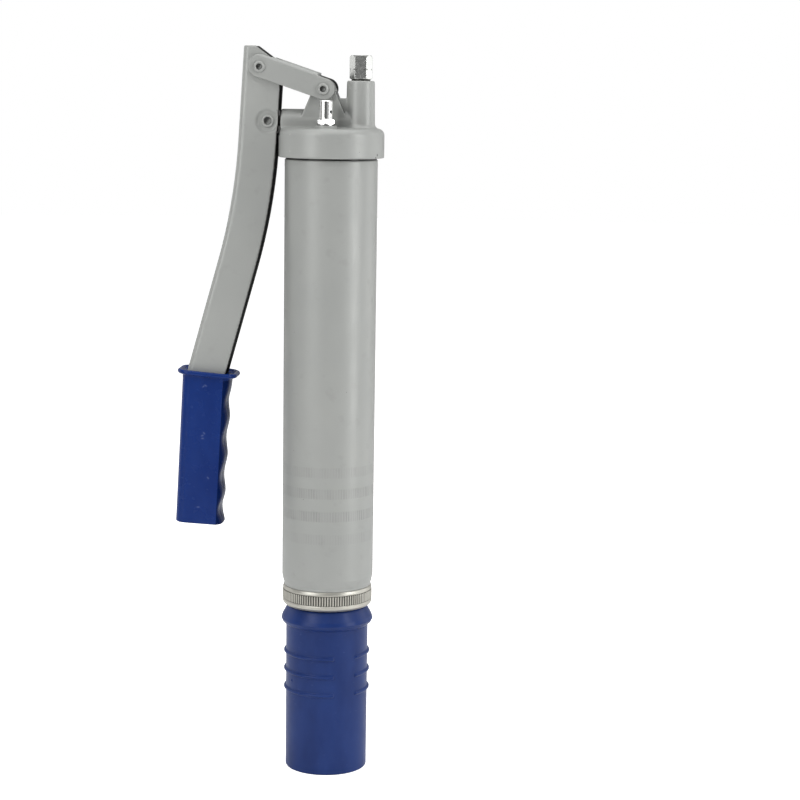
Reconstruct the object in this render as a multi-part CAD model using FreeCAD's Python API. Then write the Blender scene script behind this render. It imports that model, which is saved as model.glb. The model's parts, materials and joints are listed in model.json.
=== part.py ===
"""Lever grease gun with a pneumatic follower.

Frame: millimetres, +Z up along the barrel, origin on the barrel axis at the foot of the pump
handle.  The hand lever stands on the -X side and its pins run along Y.
"""
import FreeCAD, Part
import math
import os

V = FreeCAD.Vector
os.makedirs("parts", exist_ok=True)

# ---------------------------------------------------------------- driving dimensions
BARREL_R = 30.5            # outside of the barrel tube
BARREL_WALL = 1.8
CARTRIDGE_R = 26.75        # 53.5 mm grease cartridge
CARTRIDGE_LENGTH = 253.0

# levels along the barrel axis
SLEEVE_TOP_Z = 112.0
RING_BOTTOM_Z = 113.0
RING_TOP_Z = 126.0
BARREL_TOP_Z = 422.4
HEAD_BOTTOM_Z = 411.8
HEAD_TOP_Z = 431.0
HEAD_CEILING_Z = 424.5
PLUNGER_Z = 435.1          # axis of the high-pressure plunger, along X
RISER_TOP_Z = 461.8
OUTLET_TOP_Z = 478.1

# head casting
HEAD_R = 34.65
HEAD_SHOULDER_R = 4.5
BOSS_R = 8.0
BOSS_END_X = -33.2
RISER_X = 18.9
RISER_TOP_R = 9.1
RISER_FOOT_R = 9.5
FIN_HALF = 7.5
FIN_EYE_HALF = 9.2

# lever linkage pivots in the XZ plane
PIN_A = (-41.06, PLUNGER_Z)    # lever to plunger
PIN_B = (-46.30, 469.92)       # lever to link
PIN_C = (-4.62, 456.12)        # link to head
PIN_R = 3.0
PIN_BORE_R = 1.9               # hollow in the front end of each rivet
PIN_BORE_DEPTH = 5.0
PIN_HEAD_R = 3.9
PIN_HEAD_T = 1.3
RUNNING = 0.05                 # radial clearance of a running fit
SNUG = 0.02                    # radial clearance between pieces fixed to each other

# sheet metal channels
SHEET = 2.5
LEVER_HALF = 9.25
LINK_HALF = 12.0
LEVER_DEPTH = 25.4
LEVER_BEND_R = 4.0
LINK_BEND_R = 3.0

# lever outline, measured down its outer edge
LEVER_TOP = (-57.1, 483.5)
LEVER_TILT_UPPER = 3.36        # degrees from vertical
LEVER_TILT_MIDDLE = 15.5
LEVER_TILT_GRIP = 2.76
LEVER_STRAIGHT_UPPER = 60.6
LEVER_SWEEP_R = 375.0
LEVER_STRAIGHT_MIDDLE = 75.0
LEVER_GRIP_BEND_R = 60.0
LEVER_GRIP_LENGTH = 86.0

# moulded grip on the lever
GRIP_TOP_Z = 268.4             # at its outer edge
GRIP_FOOT_Z = 167.5
GRIP_OUTER_X = -97.2           # outer edge at the top
GRIP_HALF = 12.6
GRIP_RIM_X = (-100.6, -60.9)
GRIP_RIM_HALF = 15.6
GRIP_RIM_Z = 268.2             # middle of the rim on the lever's axis
GRIP_RIM_T = 3.2
GRIP_RIM_TILT = 4.6            # degrees, outer end up

# plunger
PLUNGER_R = 3.5
PLUNGER_TIP_X = 12.5
CROSSHEAD_HALF = 4.9
CROSSHEAD_HEIGHT = 17.0
SLOT_LENGTH = 10.2             # lets the plunger pin rise and fall along the slot
SLOT_WIDTH = 7.4

# hand air pump
SLEEVE_R_FOOT = 27.4
SLEEVE_R_TOP = 27.6
SLEEVE_WALL = 2.6
RIB_LEVELS = (80.3, 67.8, 55.2)
RIB_WINDOW = (-74.0, -41.0)    # degrees from +X where each rib is left out, front and back
FLANGE_R = 30.9
FLANGE_Z = 103.7
PUMP_TUBE_R = 21.5
PUMP_TUBE_WALL = 1.5
PUMP_TUBE_FOOT_Z = 25.0
PISTON_Z = 97.0
PISTON_T = 8.0
ROD_R = 4.0
FLOOR_T = 7.0
INSERT_TOP_Z = 14.0
INSERT_R = 6.0
KNURL_TEETH = 106

# valves on the head
NIPPLE_AT = (-2.0, -16.5)
VENT_AT = (-6.0, 16.5)


# ---------------------------------------------------------------- helpers
def save(shape, node):
    """Write one sub-part after cleaning and checking it."""
    solid = shape.removeSplitter()
    if len(solid.Solids) == 1:
        solid = solid.Solids[0]
    if not solid.isValid():
        raise ValueError(node + " is not a valid solid")
    solid.exportStep("parts/" + node + ".step")
    box = solid.BoundBox
    print("%-18s solids %d volume %9.1f  x %7.2f %7.2f  y %7.2f %7.2f  z %7.2f %7.2f" % (
        node, len(solid.Solids) or 1, solid.Volume,
        box.XMin, box.XMax, box.YMin, box.YMax, box.ZMin, box.ZMax))
    return solid


def rod(radius, z_low, z_high, x=0.0, y=0.0):
    return Part.makeCylinder(radius, z_high - z_low, V(x, y, z_low))


def tube(r_out, r_in, z_low, z_high, x=0.0, y=0.0):
    return rod(r_out, z_low, z_high, x, y).cut(rod(r_in, z_low - 1, z_high + 1, x, y))


def bar_x(radius, x_low, x_high, z=PLUNGER_Z):
    """Cylinder along X on the plunger axis."""
    return Part.makeCylinder(radius, x_high - x_low, V(x_low, 0, z), V(1, 0, 0))


def bar_y(radius, at, y_low, y_high):
    """Cylinder along Y through an XZ point."""
    return Part.makeCylinder(radius, y_high - y_low, V(at[0], y_low, at[1]), V(0, 1, 0))


def cone_y(r_low, r_high, at, y_low, y_high):
    return Part.makeCone(r_low, r_high, y_high - y_low, V(at[0], y_low, at[1]), V(0, 1, 0))


def block(x_low, x_high, y_low, y_high, z_low, z_high):
    return Part.makeBox(x_high - x_low, y_high - y_low, z_high - z_low, V(x_low, y_low, z_low))


def spin(profile, x=0.0, y=0.0):
    """Revolve a closed outline about a vertical axis.

    Each item is an (r, z) corner, or ((r, z), (r, z)): the middle and the end of an arc.
    """
    points = list(profile)
    edges = []
    start = V(points[0][0], 0, points[0][1])
    here = start
    for item in points[1:] + [points[0]]:
        if isinstance(item[0], tuple):
            middle = V(item[0][0], 0, item[0][1])
            end = V(item[1][0], 0, item[1][1])
            edges.append(Part.Arc(here, middle, end).toShape())
        else:
            end = V(item[0], 0, item[1])
            edges.append(Part.LineSegment(here, end).toShape())
        here = end
    face = Part.Face(Part.Wire(edges))
    solid = face.revolve(V(0, 0, 0), V(0, 0, 1), 360)
    solid.translate(V(x, y, 0))
    return solid


def slab_xz(edges, y_low, y_high):
    """Extrude a closed XZ outline along Y."""
    face = Part.Face(Part.Wire(edges))
    face.translate(V(0, y_low, 0))
    return face.extrude(V(0, y_high - y_low, 0))


def polygon_xz(points):
    """Closed chain of straight XZ edges."""
    corners = [V(x, 0, z) for x, z in points]
    corners.append(corners[0])
    return [Part.LineSegment(a, b).toShape() for a, b in zip(corners, corners[1:])]


def edges_through(shape, points):
    """Edges of the shape that pass through any of the given points."""
    found = []
    for edge in shape.Edges:
        for point in points:
            if edge.distToShape(Part.Vertex(point))[0] < 1e-3:
                found.append(edge)
                break
    return found


def hexagon(across_flats, z_low, z_high, x, y, turn=0.0, chamfer=0.0):
    """Upright hexagonal prism with its corners turned off at both ends."""
    corner_r = across_flats / math.sqrt(3)
    angles = [math.radians(turn + 60 * i) for i in range(7)]
    corners = [V(x + corner_r * math.cos(a), y + corner_r * math.sin(a), z_low) for a in angles]
    prism = Part.Face(Part.makePolygon(corners)).extrude(V(0, 0, z_high - z_low))
    if chamfer:
        flat_r = across_flats / 2
        turned = spin([(0, z_low), (flat_r, z_low), (flat_r + 3 * chamfer, z_low + 1.5 * chamfer),
                       (flat_r + 3 * chamfer, z_high - 1.5 * chamfer), (flat_r, z_high),
                       (0, z_high)], x, y)
        prism = prism.common(turned)
    return prism


def coil_spring(mean_r, wire_r, z_low, z_high, turns, x=0.0, y=0.0):
    """Compression spring standing on Z between two levels."""
    height = z_high - z_low - 2 * wire_r
    path = Part.makeHelix(height / turns, height, mean_r)
    circle = Part.makeCircle(wire_r, V(mean_r, 0, 0), V(0, 1, 0))
    spring = Part.Wire(path).makePipeShell([Part.Wire(circle)], True, True)
    spring.translate(V(x, y, z_low + wire_r))
    return spring


def o_ring(mean_r, thick_r, z):
    return Part.makeTorus(mean_r, thick_r, V(0, 0, z))


def pivot_rivet(at, half_length):
    """Pivot rivet along Y: a rolled-over hollow end in front and a plain domed head behind."""
    body = bar_y(PIN_R, at, -half_length, half_length)
    crown = PIN_HEAD_R - 0.9
    front, back = -half_length - PIN_HEAD_T, half_length + PIN_HEAD_T
    body = body.fuse([cone_y(crown, PIN_HEAD_R, at, front, -half_length),
                      cone_y(PIN_HEAD_R, crown, at, half_length, back)])
    bore = bar_y(PIN_BORE_R, at, front - 1, front + PIN_BORE_DEPTH)
    tip = cone_y(PIN_BORE_R, 0.4, at, front + PIN_BORE_DEPTH, front + PIN_BORE_DEPTH + 1.0)
    return body.cut(bore.fuse(tip))


# ---------------------------------------------------------------- lever outline
class LeverEdge:
    """One long edge of the lever, set in from the outer edge by an offset."""

    def __init__(self, offset, extra_top=0.0, extra_end=0.0):
        tilt = math.radians(LEVER_TILT_UPPER)
        down = (-math.sin(tilt), -math.cos(tilt))
        inward = (math.cos(tilt), -math.sin(tilt))
        x = LEVER_TOP[0] + inward[0] * offset - down[0] * extra_top
        z = LEVER_TOP[1] + inward[1] * offset - down[1] * extra_top
        self.point = (x, z)
        self.tilt = LEVER_TILT_UPPER
        self.start = self.point
        self.edges = []
        self.middles = []
        self.straight(LEVER_STRAIGHT_UPPER + extra_top)
        self.bend(LEVER_SWEEP_R + offset, LEVER_TILT_MIDDLE, -1)
        self.straight(LEVER_STRAIGHT_MIDDLE)
        self.bend(LEVER_GRIP_BEND_R - offset, LEVER_TILT_GRIP, 1)
        self.straight(LEVER_GRIP_LENGTH + extra_end)

    def add(self, edge, end):
        self.edges.append(edge)
        middle = edge.valueAt((edge.FirstParameter + edge.LastParameter) / 2)
        self.middles.append(middle)
        self.point = end

    def straight(self, length):
        tilt = math.radians(self.tilt)
        end = (self.point[0] - length * math.sin(tilt), self.point[1] - length * math.cos(tilt))
        line = Part.LineSegment(V(self.point[0], 0, self.point[1]), V(end[0], 0, end[1]))
        self.add(line.toShape(), end)

    def bend(self, radius, new_tilt, side):
        """Turn to a new tilt about a centre on the outer (-1) or inner (+1) side."""
        def on_arc(degrees):
            angle = math.radians(degrees)
            return (centre[0] - side * radius * math.cos(angle),
                    centre[1] + side * radius * math.sin(angle))
        old = math.radians(self.tilt)
        centre = (self.point[0] + side * radius * math.cos(old),
                  self.point[1] - side * radius * math.sin(old))
        middle = on_arc((self.tilt + new_tilt) / 2)
        end = on_arc(new_tilt)
        arc = Part.Arc(V(self.point[0], 0, self.point[1]), V(middle[0], 0, middle[1]),
                       V(end[0], 0, end[1]))
        self.tilt = new_tilt
        self.add(arc.toShape(), end)


def lever_bar(offset_outer, offset_inner, half_width, edge_radius, extra_top=0.0, extra_end=0.0):
    """Solid bar between two offsets, with rounded long edges on its outer side."""
    outer = LeverEdge(offset_outer, extra_top, extra_end)
    inner = LeverEdge(offset_inner, extra_top, extra_end)
    ends = [Part.LineSegment(V(a[0], 0, a[1]), V(b[0], 0, b[1])).toShape()
            for a, b in ((outer.start, inner.start), (outer.point, inner.point))]
    outline = Part.__sortEdges__(outer.edges + inner.edges + ends)
    bar = slab_xz(outline, -half_width, half_width)
    corners = [V(m.x, side * half_width, m.z) for m in outer.middles for side in (-1, 1)]
    return bar.makeFillet(edge_radius, edges_through(bar, corners))


def lever_envelope(gap=0.0, extra_top=0.0):
    """Outside of the whole lever, grown all round by a gap."""
    return lever_bar(-gap, LEVER_DEPTH + gap, LEVER_HALF + gap, LEVER_BEND_R, extra_top, gap)


# ---------------------------------------------------------------- link frame
LINK_LENGTH = math.hypot(PIN_C[0] - PIN_B[0], PIN_C[1] - PIN_B[1])
LINK_ALONG = ((PIN_C[0] - PIN_B[0]) / LINK_LENGTH, (PIN_C[1] - PIN_B[1]) / LINK_LENGTH)
LINK_UP = (-LINK_ALONG[1], LINK_ALONG[0])


def on_link(along, up):
    """XZ point at a distance along and above the line from pin B to pin C."""
    return (PIN_B[0] + along * LINK_ALONG[0] + up * LINK_UP[0],
            PIN_B[1] + along * LINK_ALONG[1] + up * LINK_UP[1])


def link_box(along_low, along_high, up_low, up_high, half_width):
    corners = [on_link(along_low, up_low), on_link(along_high, up_low),
               on_link(along_high, up_high), on_link(along_low, up_high)]
    return slab_xz(polygon_xz(corners), -half_width, half_width)


# ---------------------------------------------------------------- head
def head_casting():
    """Die-cast head: threaded skirt, plunger boss, fin for the link, riser for the outlet."""
    top, low, r = HEAD_TOP_Z, HEAD_BOTTOM_Z, HEAD_R
    bulge = HEAD_SHOULDER_R * (1 - math.sqrt(0.5))
    body = spin([(0, low), (r - 0.5, low), (r, low + 0.8), (r, top - HEAD_SHOULDER_R),
                 ((r - bulge, top - bulge), (r - HEAD_SHOULDER_R, top)), (0, top)])
    boss = bar_x(BOSS_R, BOSS_END_X, RISER_X)
    boss = boss.makeChamfer(0.9, edges_through(boss, [V(BOSS_END_X, 0, PLUNGER_Z + BOSS_R)]))
    boss_foot = block(BOSS_END_X + 0.4, RISER_X, -BOSS_R, BOSS_R, top - 5.5, PLUNGER_Z)
    riser = spin([(0, top - 3), (RISER_FOOT_R + 3.0, top - 3), (RISER_FOOT_R + 3.0, top),
                  ((RISER_FOOT_R + 0.88, top + 0.88), (RISER_FOOT_R, top + 3.0)),
                  (RISER_TOP_R, RISER_TOP_Z - 0.8), (RISER_TOP_R - 0.6, RISER_TOP_Z),
                  (0, RISER_TOP_Z)], RISER_X, 0)
    body = body.fuse([boss, boss_foot, riser, fin(), gusset()]).removeSplitter()
    return body.cut(head_passages())


def fin():
    """A-shaped lug with a round eye for the link's pin."""
    eye_r = 6.5
    x, z = PIN_C
    lean = math.radians(23.0)
    side = (math.cos(lean), math.sin(lean))
    left = (x - eye_r * side[0], z + eye_r * side[1])
    right = (x + eye_r * side[0], z + eye_r * side[1])
    drop = z + eye_r * side[1] - (HEAD_TOP_Z - 3)
    spread = drop * math.tan(lean)
    foot_left = (left[0] - spread, HEAD_TOP_Z - 3)
    foot_right = (right[0] + spread, HEAD_TOP_Z - 3)
    crown = Part.Arc(V(left[0], 0, left[1]), V(x, 0, z + eye_r), V(right[0], 0, right[1]))
    outline = [crown.toShape()]
    for a, b in ((right, foot_right), (foot_right, foot_left), (foot_left, left)):
        outline.append(Part.LineSegment(V(a[0], 0, a[1]), V(b[0], 0, b[1])).toShape())
    lug = slab_xz(outline, -FIN_HALF, FIN_HALF)
    return lug.fuse(bar_y(eye_r, PIN_C, -FIN_EYE_HALF, FIN_EYE_HALF))


def gusset():
    """Web that ties the fin to the riser."""
    return block(2.0, RISER_X - 4, -4.5, 4.5, HEAD_TOP_Z - 2, 450.4)


def head_passages():
    """Everything bored out of the head."""
    skirt = rod(BARREL_R + 0.1, HEAD_BOTTOM_Z - 1, HEAD_CEILING_Z)
    dome = Part.makeCone(25.0, 12.0, 2.2, V(0, 0, HEAD_CEILING_Z - 0.01), V(0, 0, 1))
    plunger_bore = bar_x(PLUNGER_R + RUNNING, BOSS_END_X - 1, RISER_X)
    bush_seat = bar_x(5.5, BOSS_END_X - 1, BOSS_END_X + 11.5)
    suction = rod(2.5, HEAD_CEILING_Z, PLUNGER_Z, -10.0)
    seat_bore = rod(2.2, PLUNGER_Z, 441.5, RISER_X)
    seat_cone = Part.makeCone(2.2, 4.2, 2.0, V(RISER_X, 0, 441.0), V(0, 0, 1))
    valve_room = rod(4.2, 443.0, 453.0, RISER_X)
    outlet_thread = rod(5.0, 452.0, RISER_TOP_Z + 1, RISER_X)
    pin_hole = bar_y(PIN_R + RUNNING, PIN_C, -FIN_EYE_HALF - 1, FIN_EYE_HALF + 1)
    valve_threads = [rod(4.5, HEAD_CEILING_Z - 1, HEAD_TOP_Z + 2, x, y)
                     for x, y in (NIPPLE_AT, VENT_AT)]
    first, *rest = [skirt, dome, plunger_bore, bush_seat, suction, seat_bore, seat_cone,
                    valve_room, outlet_thread, pin_hole] + valve_threads
    return first.fuse(rest)


def outlet_fitting():
    """Hexagonal outlet with a female thread for a pipe or hose."""
    hexagon_low = RISER_TOP_Z + 1.0
    body = hexagon(13.0, hexagon_low, OUTLET_TOP_Z, RISER_X, 0, turn=2.0, chamfer=0.55)
    nick = spin([(8.6, 467.6), (6.9, 468.6), (8.6, 469.6)], RISER_X, 0)
    body = body.cut(nick).fuse(rod(4.95, 452.4, hexagon_low + 0.2, RISER_X))
    thread = rod(4.5, 467.5, OUTLET_TOP_Z + 1, RISER_X)
    thread_lead = Part.makeCone(4.5, 5.3, 0.8, V(RISER_X, 0, OUTLET_TOP_Z - 0.79), V(0, 0, 1))
    passage = rod(2.0, 451.0, 468.0, RISER_X)
    return body.cut(thread.fuse([thread_lead, passage]))


def outlet_valve():
    """Washer, ball and spring of the outlet check valve."""
    save(tube(6.2, 5.0, RISER_TOP_Z, RISER_TOP_Z + 1.0, RISER_X), "outlet_washer")
    ball = Part.makeSphere(3.4, V(RISER_X, 0, 443.70))
    save(ball, "outlet_ball")
    save(coil_spring(2.6, 0.4, 446.0, 452.3, 3.0, RISER_X), "outlet_spring")


def filler_parts():
    """Nipple that a filling pump pushes onto, with its sprung ball."""
    x, y = NIPPLE_AT
    save(tube(7.0, 4.5, HEAD_TOP_Z, 432.9, x, y), "filler_washer")
    body = hexagon(11.0, 432.9, 436.7, x, y, turn=15.0, chamfer=0.4)
    stem = spin([(0, 424.6), (4.4, 424.6), (4.4, 433.5), (4.0, 433.5), (4.0, 448.5),
                 (3.6, 449.0), (0, 449.0)], x, y)
    room = spin([(0, 430.0), (2.9, 430.0), (2.9, 447.0), (1.9, 448.0), (1.9, 450.0), (0, 450.0)],
                x, y)
    cross_hole = Part.makeCylinder(0.9, 6, V(x, y, 444.6), V(math.cos(0.55), -math.sin(0.55), 0))
    body = body.fuse(stem).cut(room.fuse([rod(1.8, 424.0, 431.0, x, y), cross_hole]))
    save(body, "filler_nipple")
    save(Part.makeSphere(2.6, V(x, y, 446.15)), "filler_ball")
    save(coil_spring(2.1, 0.3, 430.1, 443.9, 6.0, x, y), "filler_spring")


def vent_parts():
    """Push-pin valve that lets trapped air out of the barrel."""
    x, y = VENT_AT
    body = hexagon(11.0, HEAD_TOP_Z, 435.5, x, y, turn=0.0, chamfer=0.4)
    stem = spin([(0, 424.6), (4.4, 424.6), (4.4, 431.0), (3.2, 434.5), (3.2, 440.0), (2.7, 440.6),
                 (0, 440.6)], x, y)
    room = spin([(0, 426.5), (2.4, 426.5), (2.4, 436.6), (1.3, 436.6), (1.3, 441.0), (0, 441.0)],
                x, y)
    body = body.fuse(stem).cut(room.fuse(rod(1.2, 424.0, 427.0, x, y)))
    save(body, "vent_valve_body")
    pin = spin([(0, 434.6), (2.1, 434.6), (2.1, 436.5), (1.2, 436.5), (1.2, 442.6), (0.8, 443.1),
                (0, 443.1)], x, y)
    save(pin, "vent_pin")
    save(coil_spring(1.6, 0.25, 426.6, 434.5, 4.0, x, y), "vent_spring")


# ---------------------------------------------------------------- barrel and what it holds
def barrel_tube():
    r, wall, top = BARREL_R, BARREL_WALL, BARREL_TOP_Z
    neck = 27.3
    return spin([(neck, 118.2), (neck, 126.4), (29.2, 126.4), (29.2, 127.6),
                 ((30.12, 130.2), (r, 133.4)), (r, top), (r - wall, top),
                 (r - wall, 135.0), (neck - wall, 130.0), (neck - wall, 118.2)])


def cartridge_tube():
    """Empty cartridge hung by its rim, with an inward lip that stops the follower."""
    r, wall, top = CARTRIDGE_R, 1.3, BARREL_TOP_Z
    low = top - CARTRIDGE_LENGTH
    return spin([(r - 2.5, low), (r, low), (r, top - 1.6), (r + 1.6, top - 1.6), (r + 1.6, top),
                 (r - wall, top), (r - wall, low + 1.6), (r - 2.5, low + 1.6)])


def follower_parts():
    """Follower piston and the lip seal around it."""
    low = BARREL_TOP_Z - CARTRIDGE_LENGTH + 1.8
    bore = CARTRIDGE_R - 1.3
    piston = spin([(0, low + 8), (20.0, low + 8), (22.0, low + 6), (22.0, low), (24.9, low),
                   (24.9, low + 3.0), (23.6, low + 3.0), (23.6, low + 8.5), (24.9, low + 8.5),
                   (24.9, low + 11.0), (4.0, low + 14.5), (0, low + 14.5)])
    save(piston, "follower_piston")
    seal = spin([(23.6 + SNUG, low + 3.2), (24.6, low + 3.2), (bore - 0.1, low + 4.4),
                 (bore - 0.1, low + 7.2), (24.6, low + 8.3), (23.6 + SNUG, low + 8.3)])
    save(seal, "follower_seal")


# ---------------------------------------------------------------- plunger group
def plunger():
    """High-pressure plunger with the slotted crosshead that the lever's pin drives."""
    shank = bar_x(PLUNGER_R, PIN_A[0], PLUNGER_TIP_X)
    shank = shank.makeChamfer(0.6, edges_through(shank, [V(PLUNGER_TIP_X, 0,
                                                           PLUNGER_Z + PLUNGER_R)]))
    half = CROSSHEAD_HEIGHT / 2
    head = block(PIN_A[0] - 7.4, PIN_A[0] + 6.4, -CROSSHEAD_HALF, CROSSHEAD_HALF,
                 PLUNGER_Z - half, PLUNGER_Z + half)
    upright = [e for e in head.Edges if abs(e.BoundBox.YLength - 2 * CROSSHEAD_HALF) < 1e-6]
    head = head.makeFillet(3.0, upright)
    slot_half = SLOT_WIDTH / 2
    reach = SLOT_LENGTH / 2 - slot_half
    slot = block(PIN_A[0] - slot_half, PIN_A[0] + slot_half, -9, 9,
                 PLUNGER_Z - reach, PLUNGER_Z + reach)
    for level in (-reach, reach):
        slot = slot.fuse(bar_y(slot_half, (PIN_A[0], PLUNGER_Z + level), -9, 9))
    return shank.fuse(head).cut(slot)


def plunger_guides():
    """Bronze bush in the mouth of the boss and the seal behind it."""
    bush_end = BOSS_END_X + 8.0
    bore = bar_x(PLUNGER_R + RUNNING, BOSS_END_X - 1, bush_end + 5)
    outside = 5.5 - SNUG
    save(bar_x(outside, BOSS_END_X, bush_end).cut(bore), "plunger_bush")
    save(bar_x(outside, bush_end, bush_end + 3.4).cut(bore), "plunger_seal")


# ---------------------------------------------------------------- link and lever
def link():
    """Channel link between the head's fin and the lever."""
    low, web_top, lever_side_top, head_side_top = -6.6, 8.8, 8.2, 7.4
    web_start, web_end = 6.15, 37.5
    r_b = (lever_side_top - low) / 2
    r_c = (head_side_top - low) / 2
    end_c = LINK_LENGTH + 0.7

    def at(along, up):
        x, z = on_link(along, up)
        return V(x, 0, z)

    def line(a, b):
        return Part.LineSegment(at(*a), at(*b)).toShape()

    outline = [
        line((0, low), (end_c, low)),
        Part.Arc(at(end_c, low), at(end_c + r_c, low + r_c), at(end_c, head_side_top)).toShape(),
        line((end_c, head_side_top), (web_end, head_side_top)),
        line((web_end, head_side_top), (web_end, web_top)),
        line((web_end, web_top), (web_start, web_top)),
        line((web_start, web_top), (web_start - 0.9, lever_side_top)),
        line((web_start - 0.9, lever_side_top), (0, lever_side_top)),
        Part.Arc(at(0, lever_side_top), at(-r_b, low + r_b), at(0, low)).toShape(),
    ]
    body = slab_xz(outline, -LINK_HALF, LINK_HALF)
    middle = (web_start + web_end) / 2
    bends = []
    for side in (-1, 1):
        point = at(middle, web_top)
        point.y = side * LINK_HALF
        bends.append(point)
    body = body.makeFillet(LINK_BEND_R, edges_through(body, bends))
    inside = LINK_HALF - SHEET
    body = body.cut(link_box(-20, LINK_LENGTH + 20, low - 5, web_top - SHEET, inside))
    relief = link_box(-20, web_start + 6.4, web_top - SHEET - 1, 20, inside)
    far_gap = link_box(web_end, LINK_LENGTH + 20, web_top - SHEET - 1, 20, inside)
    body = body.cut(relief.fuse(far_gap))
    holes = [bar_y(PIN_R + SNUG, at_pin, -LINK_HALF - 1, LINK_HALF + 1) for at_pin in (PIN_B, PIN_C)]
    return body.cut(holes[0].fuse(holes[1]))


def lever():
    """Pressed channel lever, open towards the barrel."""
    inner = lever_bar(SHEET, LEVER_DEPTH + 6, LEVER_HALF - SHEET, LEVER_BEND_R - SHEET, 5.0, 5.0)
    body = lever_envelope(extra_top=2.0).cut(inner)
    flat_top = block(-80, 0, -20, 20, LEVER_TOP[1], LEVER_TOP[1] + 20)
    slant = [(-49.0, LEVER_TOP[1]), (-49.0, LEVER_TOP[1] + 20), (-10.0, LEVER_TOP[1] + 20),
             (-10.0, 455.26)]
    body = body.cut(flat_top.fuse(slab_xz(polygon_xz(slant), -20, 20)))
    body = dimple(body)
    bores = bar_y(PIN_R + SNUG, PIN_A, -20, 20).fuse(bar_y(PIN_R + RUNNING, PIN_B, -20, 20))
    return body.cut(bores)


def dimple(body):
    """Press both cheeks inwards around the plunger pin."""
    depth = 1.5
    outer, inner = LEVER_HALF, LEVER_HALF - SHEET
    cushions = [cone_y(6.4, 5.4, PIN_A, -inner - 0.01, -inner + depth),
                cone_y(5.4, 6.4, PIN_A, inner - depth, inner + 0.01)]
    recesses = [cone_y(6.5, 5.2, PIN_A, -outer - 0.01, -outer + depth),
                cone_y(5.2, 6.5, PIN_A, outer - depth, outer + 0.01)]
    return body.fuse(cushions).cut(recesses[0].fuse(recesses[1]))


def lever_grip():
    """Moulded sleeve with finger grooves and a rim, pushed over the lever's end."""
    drop = GRIP_TOP_Z - GRIP_FOOT_Z
    lean = math.tan(math.radians(LEVER_TILT_GRIP))
    outer_top = V(GRIP_OUTER_X, 0, GRIP_TOP_Z)
    outer_foot = V(GRIP_OUTER_X - drop * lean, 0, GRIP_FOOT_Z)
    grooves = [V(x, 0, z) for x, z in (
        (-64.9, 266.0), (-66.2, 257.0), (-68.0, 249.0), (-67.1, 237.6), (-69.8, 223.6),
        (-68.6, 212.0), (-71.3, 198.0), (-70.0, 187.0), (-72.5, 175.5), (-70.4, 167.0))]
    finger_side = Part.BSplineCurve()
    finger_side.interpolate(grooves)
    outline = [Part.LineSegment(outer_foot, outer_top).toShape(),
               Part.LineSegment(outer_top, grooves[0]).toShape(),
               finger_side.toShape(),
               Part.LineSegment(grooves[-1], outer_foot).toShape()]
    body = slab_xz(outline, -GRIP_HALF, GRIP_HALF)
    middle = (outer_top + outer_foot) * 0.5
    body = body.makeFillet(6.5, edges_through(body, beside(middle, GRIP_HALF)))
    body = body.makeFillet(4.0, edges_through(body, beside(grooves[4], GRIP_HALF)))
    return body.fuse(grip_rim()).cut(lever_envelope(gap=SNUG))


def beside(point, half):
    """The two points level with one on the XZ plane, at a half width either side."""
    return [V(point.x, side * half, point.z) for side in (-1, 1)]


def grip_rim():
    """Flange at the top of the grip, slightly out of square with the lever."""
    half = GRIP_RIM_T / 2
    rim = block(*GRIP_RIM_X, -GRIP_RIM_HALF, GRIP_RIM_HALF, GRIP_RIM_Z - half, GRIP_RIM_Z + half)
    uprights = [e for e in rim.Edges if abs(e.BoundBox.ZLength - GRIP_RIM_T) < 1e-6]
    rim = rim.makeFillet(9.0, uprights)
    rim.rotate(V(sum(GRIP_RIM_X) / 2, 0, GRIP_RIM_Z), V(0, 1, 0), GRIP_RIM_TILT)
    return rim


# ---------------------------------------------------------------- base and hand air pump
def knurled_ring():
    """Union ring with a straight knurl between two plain rims."""
    low, high, rim_r = RING_BOTTOM_Z, RING_TOP_Z, 29.9
    blank = spin([(24.6, low), (28.7, low), (rim_r, low + 1.6), (rim_r, high - 1.2),
                  (28.7, high), (27.35, high), (27.35, low + 2.2), (24.6, low + 2.2)])
    root_r, tip_r = rim_r - 0.45, rim_r + 0.12
    knurl_low, knurl_high = 116.7, 124.1
    points = []
    for tooth in range(KNURL_TEETH):
        base = 2 * math.pi * tooth / KNURL_TEETH
        step = 2 * math.pi / KNURL_TEETH
        for share, radius in ((0.0, root_r), (0.28, tip_r), (0.72, tip_r)):
            angle = base + share * step
            points.append(V(radius * math.cos(angle), radius * math.sin(angle), knurl_low))
    points.append(points[0])
    toothed = Part.Face(Part.makePolygon(points)).extrude(V(0, 0, knurl_high - knurl_low))
    band = tube(rim_r + 1, 28.6, knurl_low, knurl_high)
    teeth = toothed.cut(rod(28.6, knurl_low - 1, knurl_high + 1))
    return blank.cut(band).fuse(teeth)


def base_plug():
    """Disc that closes the barrel, carries the pump tube and holds the air valve."""
    tube_bore = PUMP_TUBE_R - PUMP_TUBE_WALL - SNUG
    body = spin([(0, 110.0), (tube_bore, 110.0), (tube_bore, 115.3), (27.2, 115.3), (27.2, 118.1),
                 (25.4, 118.1), (25.4, 119.9), (23.5, 119.9), (23.5, 122.1), (25.4, 122.1),
                 (25.4, 124.0), (0, 124.0)])
    air_ways = [rod(1.2, 109, 125, 4.2 * math.cos(a), 4.2 * math.sin(a))
                for a in (math.radians(90 * i) for i in range(4))]
    return body.cut(rod(1.5 + SNUG, 109, 125).fuse(air_ways))


def air_valve():
    """Umbrella check valve over the air ways."""
    return spin([(0, 112.0), (1.5, 112.0), (1.5, 124.0), (6.6, 124.0), (7.2, 124.4), (3.0, 126.2),
                 (0, 126.6)])


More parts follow.
